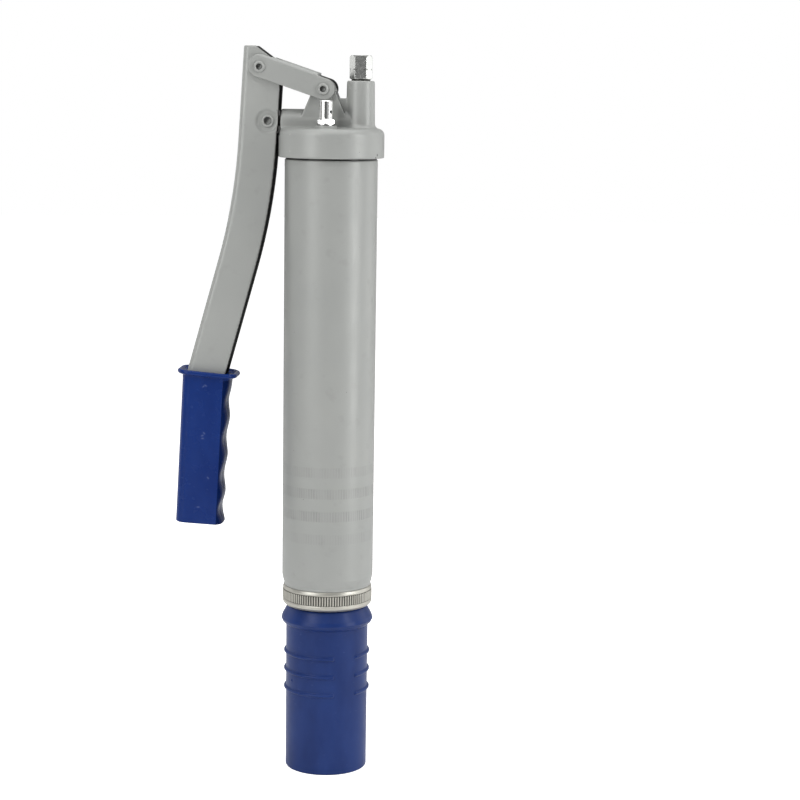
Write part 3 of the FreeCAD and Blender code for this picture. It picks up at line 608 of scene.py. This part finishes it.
# ---------------------------------------------------------------- outlet
def outlet():
    """Hexagonal outlet with a turned groove, an internal thread and a relieved mouth."""
    x, y, _ = middle_mm("outlet_fitting")
    base, foot, top = 452.4, 462.8, box_mm("outlet_fitting")[1][2]
    groove, pitch, thread_r, thread_low = 469.1, 1.0, 4.5, 467.8
    outer = rounded([(4.95, base), (4.95, foot, 0.2), (6.9, foot, 0.2), (7.5, foot + 0.6)], 0.5)
    flank = np.array([(7.5, z) for z in np.arange(foot + 0.7, top - 0.5, 0.14)])
    mouth = rounded([(7.5, top - 0.5), (6.6, top, 0.25), (5.5, top, 0.25), (4.95, top - 0.7)], 0.3)
    thread = np.array([(thread_r + 0.45, z) for z in np.arange(top - 0.8, thread_low, -0.1)])
    bore = rounded([(thread_r, 467.5), (2.0, 467.4, 0.2), (2.0, base, 0.2), (4.95, base)], 2.0)
    outline = np.vstack([outer, flank, mouth, thread, bore])
    hexagon = hexagonal(13.0, foot, top, turn=2.0, chamfer=0.25, soft=0.05)

    def warp(r, z, angle):
        shaped, _ = hexagon(r, z, angle)
        nick = 6.95 + 1.7 * np.abs(z - groove)
        crown = 6.48 + 0.9 * (top - z)
        cut = soft_min(shaped, np.minimum(nick, crown), 0.05)
        shaped = np.where((z > foot) & (r > 6.5), cut, shaped)
        wave = (z / pitch - angle / (2 * math.pi)) % 1.0
        tooth = thread_r + 0.9 * np.abs(wave - 0.5)
        on_thread = (r > 4.7) & (r < 4.955) & (z > thread_low - 0.1) & (z < top - 0.75)
        return np.where(on_thread, tooth, shaped), z

    def dirt_and_painted_shade(points, normals):
        """Painted shade in the corners' nicks and under the hexagon, and painted dark reflections on the
        crown's bevels.
        """
        r, z = np.hypot(points[:, 0] - x, points[:, 1] - y), points[:, 2]
        nick = smoothstep(0.55, 0.25, np.abs(z - groove)) * (r > 6.8)
        crown = smoothstep(0.2, 0.45, normals[:, 2]) * (r > 6.5) * (z > top - 1.4)
        under = smoothstep(foot + 0.4, foot + 0.1, z) * (r > 5.2)
        return 0.7 * nick + 0.85 * crown + 0.6 * under

    stain(lathe("outlet_hex", outline, 216, "gun", "bright_zinc", "outlet_fitting", at=(x, y),
                warp=warp), dirt_and_painted_shade)
    # The seal is dark to stand in for the shadow gap under the hexagon: painted shade.
    lathe("outlet_seal_painted_shade", rounded([
        (5.0, 461.8), (6.1, 461.8, 0.2), (6.2, 462.3, 0.2), (6.1, foot, 0.2), (5.0, foot),
        (5.0, 461.8)], 0.5), 64, "gun", "dark_steel", "outlet_washer", at=(x, y))


outlet()


# ---------------------------------------------------------------- valves on the head
def cut_hole(thing, centre, direction, radius, length):
    """Drill a round hole in a piece, with its middle, radius and length in millimetres."""
    work = bmesh.new()
    bmesh.ops.create_cone(work, cap_ends=True, segments=28, radius1=radius * MM,
                          radius2=radius * MM, depth=length * MM)
    mesh = bpy.data.meshes.new("drill")
    work.to_mesh(mesh)
    work.free()
    drill = bpy.data.objects.new("drill", mesh)
    bpy.context.scene.collection.objects.link(drill)
    turn = Vector(direction).to_track_quat("Z", "Y").to_matrix().to_4x4()
    drill.matrix_world = Matrix.Translation(Vector(centre) * MM) @ turn
    boolean = thing.modifiers.new("hole", "BOOLEAN")
    boolean.operation = "DIFFERENCE"
    boolean.solver = "EXACT"
    boolean.object = drill
    bpy.context.view_layer.update()
    settled = bpy.context.evaluated_depsgraph_get()
    old = thing.data
    thing.data = bpy.data.meshes.new_from_object(thing.evaluated_get(settled))
    thing.modifiers.clear()
    thing.data.set_sharp_from_angle(angle=math.radians(50))
    bpy.data.objects.remove(drill)
    bpy.data.meshes.remove(old)


def nipple():
    """Filler nipple: hexagonal foot chamfered below, plain stem, rolled mouth and a cross hole."""
    x, y, _ = middle_mm("filler_nipple")
    base, mouth = [corner[2] for corner in box_mm("filler_nipple")]
    seat, foot_low, foot_high, stem_low = 431.0, 432.9, 436.7, 437.2
    stem_r, room_r, inlet_r = 4.6, 2.9, 1.8
    outline = rounded([
        (inlet_r, base), (4.3, base, 0.3), (4.4, foot_low, 0.1), (5.6, foot_low, 0.1),
        (6.6, 434.4), (6.6, 436.3), (6.2, foot_high, 0.2), (4.9, 436.8, 0.2),
        (stem_r, stem_low, 0.3), (stem_r, mouth - 0.7, 0.6), (3.9, mouth, 0.3), (2.2, mouth, 0.3),
        (1.9, mouth - 0.8, 0.2), (room_r, 447.0, 0.2), (room_r, 430.0, 0.2), (inlet_r, 429.8, 0.2),
        (inlet_r, base)], 0.45)

    def warp(r, z, angle):
        flat = 11.4
        walls = soft_min(hexagon_wall(flat, 36, angle), r, 0.05)
        return np.where((z > foot_low - 0.05) & (z < foot_high) & (r > flat / 2), walls, r), z

    def painted_reflection_and_shade(points, normals):
        """Painted dark reflection as one streak up the stem, and painted shade under the foot's chamfer."""
        z, streak_turn = points[:, 2], -87.0
        turn = np.degrees(np.arctan2(points[:, 1] - y, points[:, 0] - x))
        on_stem = (z > stem_low) * (z < mouth - 0.6)
        streak = smoothstep(12.0, 7.5, np.abs(turn - streak_turn)) * on_stem
        under = smoothstep(-0.2, -0.45, normals[:, 2]) * (z > foot_low - 0.1) * (z < 435.5)
        return 0.75 * np.maximum(streak, under)

    thing = lathe("filler_nipple_body", outline, 168, "gun", "bright_zinc", "filler_nipple",
                  at=(x, y), warp=warp, finish="new_zinc")
    stain(thing, painted_reflection_and_shade)
    hole_turn, hole_z, hole_r, wall_r = -0.70, 441.6, 1.15, 3.8
    across = np.array([math.cos(hole_turn), math.sin(hole_turn), 0])
    cut_hole(thing, np.array([x, y, hole_z]) + wall_r * across, across, hole_r, length=4.0)
    lathe("filler_seat", rounded([
        (4.5, seat), (7.3, seat, 0.1), (7.0, 431.6, 0.3), (6.9, foot_low, 0.5), (4.5, foot_low),
        (4.5, seat)], 0.4), 96, "gun", "grey_paint", "filler_washer", at=(x, y))


def vent():
    """Push-pin vent: hexagonal body, tapered collar and a domed pin."""
    x, y, _ = middle_mm("vent_valve_body")
    base, mouth = [corner[2] for corner in box_mm("vent_valve_body")]
    foot, shoulder, neck_low, neck_r, room_r, inlet_r = 431.0, 435.5, 436.6, 3.2, 2.4, 1.2
    outline = rounded([
        (inlet_r, base), (4.3, base, 0.3), (4.4, foot, 0.1), (6.4, foot, 0.2), (6.6, 431.4),
        (6.6, 435.1), (6.2, shoulder, 0.2), (3.7, 435.6, 0.4), (neck_r, neck_low, 0.5),
        (neck_r, mouth - 0.5, 0.4), (2.6, mouth, 0.2), (1.4, mouth, 0.15), (1.3, neck_low, 0.1),
        (room_r, neck_low, 0.1), (room_r, 427.0, 0.2), (inlet_r, 426.8, 0.1), (inlet_r, base)], 0.45)
    hexagon = hexagonal(11.0, foot, shoulder, turn=0.0, chamfer=0.2, soft=0.06)

    def warp(r, z, angle):
        shaped, _ = hexagon(r, z, angle)
        return np.where((z > foot - 0.05) & (z < shoulder + 0.05), shaped, r), z

    lathe("vent_body", outline, 144, "gun", "bright_zinc", "vent_valve_body", at=(x, y), warp=warp)
    pin_low, pin_high = [corner[2] for corner in box_mm("vent_pin")]
    lathe("vent_plunger", rounded([
        (0, pin_low), (2.1, pin_low, 0.2), (2.1, 436.5, 0.2), (1.2, 436.5, 0.1),
        (1.2, pin_high - 0.4, 0.7), (0, pin_high)], 0.6), 48, "vent_pin", "polished_steel",
        "vent_pin", at=(x, y))


nipple()
vent()


# ---------------------------------------------------------------- barrel
def barrel():
    """Drawn barrel with a rounded-in foot, a rolled bead and painted-over knurled bands."""
    outer_r, bore_r, foot, top = 30.5, 28.7, 118.2, 422.4
    bands = ((162.0, 0.40), (177.4, 1.0), (192.6, 0.9), (206.8, 0.55))
    band_half, teeth_count, bead_z, seam_z = 3.7, 106, 407.0, 410.5
    lower = rounded([(27.3, foot), (27.3, 126.4, 0.3), (29.2, 126.4, 0.4), (29.2, 128.0, 0.6),
                     (29.75, 129.6, 1.5), (outer_r, 133.4, 3.0), (outer_r, 147.0)], 3.0)
    above = np.array([0.0, 1.5, 3.0, 3.35, band_half, 4.2])
    rows = np.concatenate([-above[:0:-1], above])
    banded = np.array([(outer_r, level + row) for level, _ in bands for row in rows])
    upper = rounded([(outer_r, 214.4), (outer_r, 404.0)], 16.0)
    bead = np.array([(outer_r, z) for z in np.arange(404.8, 410.2, 0.6)])
    inside = rounded([(outer_r, seam_z, 0.1), (29.9, 410.7, 0.1), (29.9, 412.6), (outer_r, 412.8),
                      (outer_r, top, 0.3), (bore_r, top, 0.3), (bore_r, 135.0, 2.0),
                      (25.5, 130.0, 1.0), (25.5, foot, 0.3), (27.3, foot)], 30.0)
    outline = np.vstack([lower, banded, upper, bead, inside])

    def wear(z, angle):
        """Strength of the bands, and of the teeth that still show through their paint."""
        patchy = 0.55 + 0.45 * np.sin(3 * angle + 0.02 * z) * np.sin(7 * angle + 0.03 * z)
        patchy = np.clip(patchy + 0.35 * np.sin(19 * angle + 0.12 * z), 0.25, 1.2)
        band = 0
        for level, strength in bands:
            band = band + strength * smoothstep(band_half, 3.0, np.abs(z - level))
        return band, band * patchy * (0.5 + 0.5 * np.cos(teeth_count * angle))

    def warp(r, z, angle):
        skin = r > outer_r - 0.1
        band, teeth = wear(z, angle)
        bead_swell = 0.10 * np.exp(-((z - bead_z) / 0.9) ** 2)
        return r + np.where(skin, bead_swell - 0.03 * band - 0.20 * teeth, 0), z

    # Painted shade in the knurl's valleys and in the seam under the head's skirt, and a faint darker tone
    # over the bands.
    def shade(points, _):
        x, y, z = points.T
        outer = np.hypot(x, y) > 29.6
        band, teeth = wear(z, np.arctan2(y, x))
        seam = smoothstep(seam_z, seam_z + 0.25, z) * (z < 413)
        return outer * (0.03 * band + 0.16 * teeth + seam)

    stain(lathe("barrel_shell", outline, 530, "gun", "grey_paint", "barrel_tube", warp=warp), shade)


barrel()


# ---------------------------------------------------------------- union ring
def union_ring():
    """Ring with a straight knurl between two rounded rims."""
    teeth, knurl_low, knurl_high, crest_r, depth = 106, 117.0, 123.5, 30.02, 0.62
    foot, ledge, bore_r, inner_r = 113.0, 115.2, 27.35, 24.6
    lower = rounded([(inner_r, foot, 0.2), (28.4, foot, 0.5), (29.9, 114.6, 0.9),
                     (29.9, 116.4, 0.3), (29.55, 116.7, 0.1)], 0.9)
    knurl = np.array([(crest_r, z) for z in np.linspace(knurl_low, knurl_high, 14)])
    upper = rounded([(29.55, 123.7), (29.85, 123.9, 0.2), (29.9, 124.5, 0.8), (29.35, 126.3, 0.3),
                     (bore_r, 126.38, 0.1)], 0.6)
    bore = rounded([(bore_r, 126.1), (bore_r, ledge, 0.2), (inner_r, ledge, 0.2),
                    (inner_r, foot)], 4.0)
    outline = np.vstack([lower[1:], knurl, upper[:-1], bore[:-1]])

    def valley(r, z, angle):
        """Depth of the knurl, from 0 on a tooth to 1 between teeth, and 0 off the knurl."""
        wave = (angle * teeth / (2 * math.pi)) % 1.0
        crest = smoothstep(0.38, 0.20, np.abs(wave - 0.5))
        ends = smoothstep(0.0, 0.5, np.minimum(z - knurl_low, knurl_high - z))
        on_knurl = (z > knurl_low - 0.01) & (z < knurl_high + 0.01) & (r > 29.0)
        return on_knurl * (1 - crest * (0.25 + 0.75 * ends))

    def warp(r, z, angle):
        return r - depth * valley(r, z, angle), z

    # Painted shade in the knurl's valleys.
    def shade(points, _):
        x, y, z = points.T
        return valley(np.hypot(x, y), z, np.arctan2(y, x))

    stain(lathe("union_ring", outline, teeth * 6, "gun", "bright_zinc", "knurled_ring", warp=warp,
                finish="dull_zinc"), shade)


union_ring()


# ---------------------------------------------------------------- pump handle
def pump_handle():
    """Cup-shaped handle: three broken ribs, a rounded collar and a small moulding mark."""
    foot_r, bore_r, mouth_r, boss_r, top = 27.4, 24.8, 21.8, 6.02, 112.0
    ribs, rib_r, rib_height = (80.3, 67.8, 55.2), 1.1, 1.4
    gap_low, gap_high, fade = -74.0, -41.0, 1.1
    mark_angle, mark_z = -142.5, 62.1
    side = rounded([(0, 0), (foot_r, 0, 1.3), (27.42, 10.0)], 4.0)
    dense = [np.arange(level - 2.25, level + 2.3, 0.25) for level in ribs]
    dense += [np.arange(mark_z - 1.6, mark_z + 1.7, 0.3), np.arange(14.0, 95.0, 5.0)]
    levels = np.unique(np.concatenate(dense).round(2))
    wall = np.array([(foot_r + 0.2 * z / 98.9, z) for z in levels])
    collar = rounded([(27.58, 96.3), (27.6, 99.0, 0.2), (29.9, 100.9, 0.9), (30.9, 103.0, 0.9),
                      (30.1, 105.4, 1.6), (26.9, 111.2, 0.6), (26.2, top, 0.3),
                      (22.4, top, 0.3), (mouth_r, 111.4, 0.3), (mouth_r, 108.0)], 1.6)
    inside = rounded([(mouth_r, 107.5), (mouth_r, 104.0, 0.3), (bore_r, 101.0, 0.5),
                      (bore_r, 7.0, 1.0), (10.0, 7.0, 0.6), (9.0, 14.0, 0.4), (boss_r, 14.0, 0.1),
                      (boss_r, 3.0), (0, 3.0)], 10.0)
    outline = np.vstack([side, wall, collar, inside])

    def warp(r, z, angle):
        degrees = np.degrees(angle)
        gap = np.zeros_like(r)
        for turn in (0, 180):
            low, high = (gap_low + turn) % 360, (gap_high + turn) % 360
            gap += smoothstep(low - fade, low + 0.7, degrees) * smoothstep(high + fade, high - 0.7, degrees)
        swell = np.zeros_like(r)
        for level in ribs:
            dome = np.sqrt(np.clip(rib_r ** 2 - (z - level) ** 2, 0, None)) + 0.35
            foot = smoothstep(rib_r + 0.5, rib_r - 0.25, np.abs(z - level))
            swell += np.minimum(dome, rib_height) * foot * (1 - gap)
        near = np.hypot((degrees - mark_angle % 360) * math.radians(27.5), z - mark_z)
        swell += 0.45 * smoothstep(1.05, 0.6, near) - 0.55 * smoothstep(0.55, 0.2, near)
        skin = (r > 27.0) & (z < 96.0)
        return r + np.where(skin, swell, 0), z

    lathe("pump_grip", outline, 400, "pump_handle", "blue_plastic", "pump_sleeve", warp=warp)


pump_handle()


# ---------------------------------------------------------------- lever grip
GRIP_LEAN = 2.76    # degrees that the grip and the lever inside it lean from upright
FINGER_SIDE = ((167.0, -70.4), (175.5, -72.5), (187.0, -70.0), (198.0, -71.3), (212.0, -68.6),
               (223.6, -69.8), (237.6, -67.1), (249.0, -68.0), (257.0, -66.2), (266.5, -64.9))


def bezier(a, b, c, d, count):
    """Points along a cubic curve from a to d, pulled towards b and c."""
    t = np.linspace(0, 1, count)[:, None]
    return (1 - t) ** 3 * a + 3 * (1 - t) ** 2 * t * b + 3 * (1 - t) * t * t * c + t ** 3 * d


def finger_side_x(z):
    """Smooth curve through the grooves and ridges under the fingers, at one level."""
    levels, values = np.array(FINGER_SIDE).T
    slopes = np.gradient(values, levels)
    i = np.clip(np.searchsorted(levels, z) - 1, 0, len(levels) - 2)
    width = levels[i + 1] - levels[i]
    t = (z - levels[i]) / width
    from_low = (2 * t ** 3 - 3 * t ** 2 + 1) * values[i] + (t ** 3 - 2 * t ** 2 + t) * width * slopes[i]
    from_high = (3 * t ** 2 - 2 * t ** 3) * values[i + 1] + (t ** 3 - t ** 2) * width * slopes[i + 1]
    return from_low + from_high


def grip_section(z, inset=0.0):
    """Closed outline of the sleeve at one level, always with the same number of points."""
    half, corner_r, palm_half = 12.6 - inset, 6.5, 4.5
    x_left = -97.3 - (266.5 - z) * math.tan(math.radians(GRIP_LEAN)) + inset
    x_right = finger_side_x(z) - inset
    x_edge = min(-69.45 - (266.0 - z) * 0.0488, x_right - 0.7)
    corner = [(x_left + corner_r * (1 - math.cos(a)), -(half - corner_r) - corner_r * math.sin(a))
              for a in np.linspace(0, math.pi / 2, 16)]
    x_start = corner[-1][0]
    cheek = [(x, -half - 0.12 * math.sin(math.pi * (x - x_start) / (x_edge - x_start)))
             for x in np.linspace(x_start, x_edge, 44)[1:]]
    reach = x_right - x_edge
    turn = bezier(np.array([x_edge + 0.12, -half + 0.10]),
                  np.array([x_edge + 0.12 + 0.42 * reach, -half + 0.2 + 0.46 * reach]),
                  np.array([x_right - 0.05 * reach, -half + 2.2 + 0.45 * reach]),
                  np.array([x_right - 0.25, -palm_half]), 22)
    palm = [(x_right - 0.25 * (y / palm_half) ** 2, y) for y in np.linspace(-palm_half, 0, 6)[1:]]
    front = [(x_left, 0.0)] + corner + cheek + [tuple(point) for point in turn] + palm
    back = [(x, -y) for x, y in front[::-1]][1:-1]
    return np.array(front + back)


def rectangle(length, width, left_r, right_r):
    """Rounded rectangle about the origin, as dense points."""
    quarters = ((1, 1, right_r), (-1, 1, left_r), (-1, -1, left_r), (1, -1, right_r))
    out = []
    for quarter, (side_x, side_y, r) in enumerate(quarters):
        for a in np.radians(np.linspace(90 * quarter, 90 * quarter + 90, 40)):
            out.append((side_x * (length / 2 - r) + r * math.cos(a),
                        side_y * (width / 2 - r) + r * math.sin(a)))
    out = np.array(out)
    steps = np.linspace(0, 1, 8, endpoint=False)
    return np.vstack([out + (np.roll(out, -1, 0) - out) * share for share in steps])


def around(shape, centre_x, angles):
    """Points at given angles of an outline about the origin, moved along X to a centre."""
    turn, far = np.arctan2(shape[:, 1], shape[:, 0]), np.hypot(shape[:, 0], shape[:, 1])
    order = np.argsort(turn)
    r = np.interp(angles, turn[order], far[order], period=2 * math.pi)
    return np.stack([centre_x + r * np.cos(angles), r * np.sin(angles)], -1)


def grip():
    """Moulded sleeve: flat cheeks, finger grooves, a crisp edge beside them and a beaded rim."""
    foot_z, top_z, foot_slant = 166.2, 264.6, 0.048
    rim_x, rim_slant = -80.75, math.tan(math.radians(4.6))
    rim_length, rim_width, rim_r = 39.7, 31.2, 9.0
    bead_z, bead_r = 268.25, 1.5
    loops = []

    def add(shape, z, slant=0.0, pivot=-73.0):
        """Stack one loop; slant tips it out of level about a pivot along X."""
        level = np.full(len(shape), float(z)) - slant * (shape[:, 0] - pivot)
        loops.append(np.column_stack([shape, level]))

    for inset, rise in ((2.6, 0.0), (1.2, 0.0), (0.55, 0.12), (0.2, 0.4), (0.04, 0.8)):
        add(grip_section(foot_z + rise, inset), foot_z + rise, foot_slant)
    for z in np.arange(foot_z + 1.4, top_z, 0.5):
        add(grip_section(z), z, foot_slant * max(0.0, 1 - (z - foot_z) / 12.0))

    body_top = grip_section(top_z)
    angles = np.arctan2(body_top[:, 1], body_top[:, 0] - rim_x)
    add(body_top, 265.4, rim_slant * 0.5, rim_x)
    add(body_top, 266.25, rim_slant, rim_x)
    shelf = around(rectangle(36.5, 28.0, 7.4, 7.4), rim_x, angles)
    for share in (0.05, 0.3, 0.65, 0.95):
        add(body_top + (shelf - body_top) * share, 266.45 + 0.2 * share, rim_slant, rim_x)

    def rim_loop(inset, z):
        corner_r = max(rim_r - inset, 3.0)
        shape = rectangle(rim_length - 2 * inset, rim_width - 2 * inset, corner_r, corner_r)
        add(around(shape, rim_x, angles), z, rim_slant, rim_x)

    for a in np.radians(np.linspace(-80, 160, 16)):
        rim_loop(bead_r - bead_r * math.cos(a), bead_z + 1.55 * math.sin(a))
    rim_loop(3.3, 268.3)
    rim_loop(4.2, 268.05)

    def socket(z):
        """Hole for the lever at one level; the lever bends just below the grip's rim."""
        bend_x, bend_z, length, width = -95.80, 259.35, 25.55, 18.6
        x = bend_x + (z - bend_z) * math.tan(math.radians(6.5 if z > bend_z else GRIP_LEAN))
        shape = rectangle(length, width, 3.8, 0.4) + np.array([x + 12.7 - rim_x, 0])
        return around(shape, rim_x, angles)

    for z in (267.9, 267.4):
        add(socket(z), z, rim_slant, rim_x)
    for z in (262, 259, 250, 230, 210, 190, 176, 172):
        add(socket(z), z)
    faces = grid_faces(len(loops), len(loops[0]), False)
    vertices = close_ends(loops, faces)
    thing = piece("lever_sleeve", vertices, faces, "lever", "grip_plastic", "lever_grip")
    tidy_normals(thing)
    thing.data.set_sharp_from_angle(angle=math.radians(38))
    stain(thing, finger_side_painted_shade)
    stain(thing, painted_mould_mark_highlights, "fleck")


def finger_side_painted_shade(points, normals):
    """Painted shade on the flank under the fingers, which faces +X; the gloss is dulled there too."""
    x, _, z = points.T
    return 0.8 * smoothstep(0.25, 0.7, normals[:, 0]) * (z < 264) * (x > -76)


def painted_mould_mark_highlights(points, _):
    """Short pale strokes on the front cheek, painted highlights of small mould marks, each an (x, z, lean).
    """
    strokes = ((-82.4, 260.0, 0.7), (-81.0, 260.6, -0.6), (-83.2, 226.9, 0.2), (-82.0, 228.6, -0.9),
               (-83.0, 225.0, 0.0), (-79.4, 198.4, -0.8), (-86.0, 178.4, 0.0))
    length, thickness, strength = 0.9, 0.32, 0.32
    out = np.zeros(len(points))
    for x, z, lean in strokes:
        dx, dz = points[:, 0] - x, points[:, 2] - z
        along = dx * math.cos(lean) + dz * math.sin(lean)
        across = dz * math.cos(lean) - dx * math.sin(lean)
        stroke = strength * np.exp(-(along / length) ** 4 - (across / thickness) ** 2)
        out = np.maximum(out, stroke)
    return out * (points[:, 1] < -12.0)


grip()


# ---------------------------------------------------------------- valve springs
def valve_spring(node):
    """Coil of a valve spring, copied from its CAD node in spring steel.
    """
    thing = place_piece(node.replace("spring", "coil"), frame["nodes"][node].data.copy(), "gun",
                        "spring_steel", node)
    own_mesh(thing)


valve_spring("outlet_spring")
valve_spring("filler_spring")
valve_spring("vent_spring")


# ---------------------------------------------------------------- carried-over CAD nodes
for row in frame["record"]["subparts"]:
    node = frame["nodes"][row["node"]]
    for slot in node.material_slots:
        slot.material = FINISHES[row["material_slot"]]


# ---------------------------------------------------------------- floor, light and camera
def floor():
    """Pale round floor, large enough to leave no edge in view."""
    work = bmesh.new()
    bmesh.ops.create_circle(work, cap_ends=True, segments=96, radius=6.0)
    mesh = bpy.data.meshes.new("floor")
    work.to_mesh(mesh)
    work.free()
    finish = Finish("floor_paper", Roughness=0.9)
    finish.feed("Base Color", finish.mix(finish.noise(220, 2), (0.90, 0.90, 0.90), (0.93, 0.93, 0.93)))
    finish.shader.inputs["Emission Color"].default_value = (1, 1, 1, 1)
    seen = finish.nodes.new("ShaderNodeLightPath").outputs["Is Camera Ray"]
    finish.feed("Emission Strength", finish.maths("MULTIPLY", seen, 0.80))
    mesh.materials.append(finish.material)
    thing = bpy.data.objects.new("floor", mesh)
    bpy.context.scene.collection.objects.link(thing)


def softbox(name, place, target, width, height, power):
    """Rectangular area light aimed at a target, in metres and watts."""
    light = bpy.data.lights.new(name, "AREA")
    light.shape = "RECTANGLE"
    light.size, light.size_y = width, height
    light.energy = power
    thing = bpy.data.objects.new(name, light)
    thing.location = place
    thing.rotation_euler = (Vector(target) - Vector(place)).to_track_quat("-Z", "Y").to_euler()
    bpy.context.scene.collection.objects.link(thing)


def surroundings():
    """White to the camera; as a light, brighter behind the gun and dimmer in front of it."""
    dim, bright = 0.17, 0.46
    world = bpy.data.worlds.new("studio")
    world.use_nodes = True
    tree = world.node_tree
    tree.nodes.clear()
    place = tree.nodes.new("ShaderNodeTexCoord")
    split = tree.nodes.new("ShaderNodeSeparateXYZ")
    shade = tree.nodes.new("ShaderNodeMapRange")
    for socket, value in (("From Min", -0.3), ("From Max", 0.7), ("To Min", dim), ("To Max", bright)):
        shade.inputs[socket].default_value = value
    seen = tree.nodes.new("ShaderNodeLightPath")
    pick = tree.nodes.new("ShaderNodeMix")
    pick.inputs[3].default_value = 1.0
    sky = tree.nodes.new("ShaderNodeBackground")
    sky.inputs["Color"].default_value = (1, 1, 1, 1)
    out = tree.nodes.new("ShaderNodeOutputWorld")
    tree.links.new(place.outputs["Generated"], split.inputs[0])
    tree.links.new(split.outputs["Y"], shade.inputs["Value"])
    tree.links.new(seen.outputs["Is Camera Ray"], pick.inputs[0])
    tree.links.new(shade.outputs["Result"], pick.inputs[2])
    tree.links.new(pick.outputs[0], sky.inputs["Strength"])
    tree.links.new(sky.outputs[0], out.inputs["Surface"])
    bpy.context.scene.world = world


def camera():
    """In front of the gun and a little above its middle; the place is in metres."""
    data = bpy.data.cameras.new("camera")
    data.sensor_width = 36.0
    data.lens = 93.816
    thing = bpy.data.objects.new("camera", data)
    pitch, roll, yaw = 81.485, -0.825, 4.153    # degrees
    thing.location = (0.14379, -1.36807, 0.45762)
    thing.rotation_euler = [math.radians(angle) for angle in (pitch, roll, yaw)]
    bpy.context.scene.collection.objects.link(thing)
    bpy.context.scene.camera = thing


floor()
surroundings()
aim = (0.0, 0.0, 0.26)
softbox("key_left", (-0.95, -1.15, 0.85), aim, 0.70, 1.3, 10.5)
softbox("fill_right", (1.35, -0.55, 0.60), aim, 0.32, 1.3, 10)
softbox("rim_left", (-1.15, 0.45, 0.55), aim, 0.65, 1.5, 2.4)
softbox("rim_right", (1.15, 0.55, 0.50), aim, 0.70, 1.5, 4.2)
softbox("overhead", (0.0, -0.3, 1.9), (0.0, 0.0, 0.0), 2.4, 2.4, 28)
camera()
bpy.context.scene.view_settings.view_transform = "Standard"
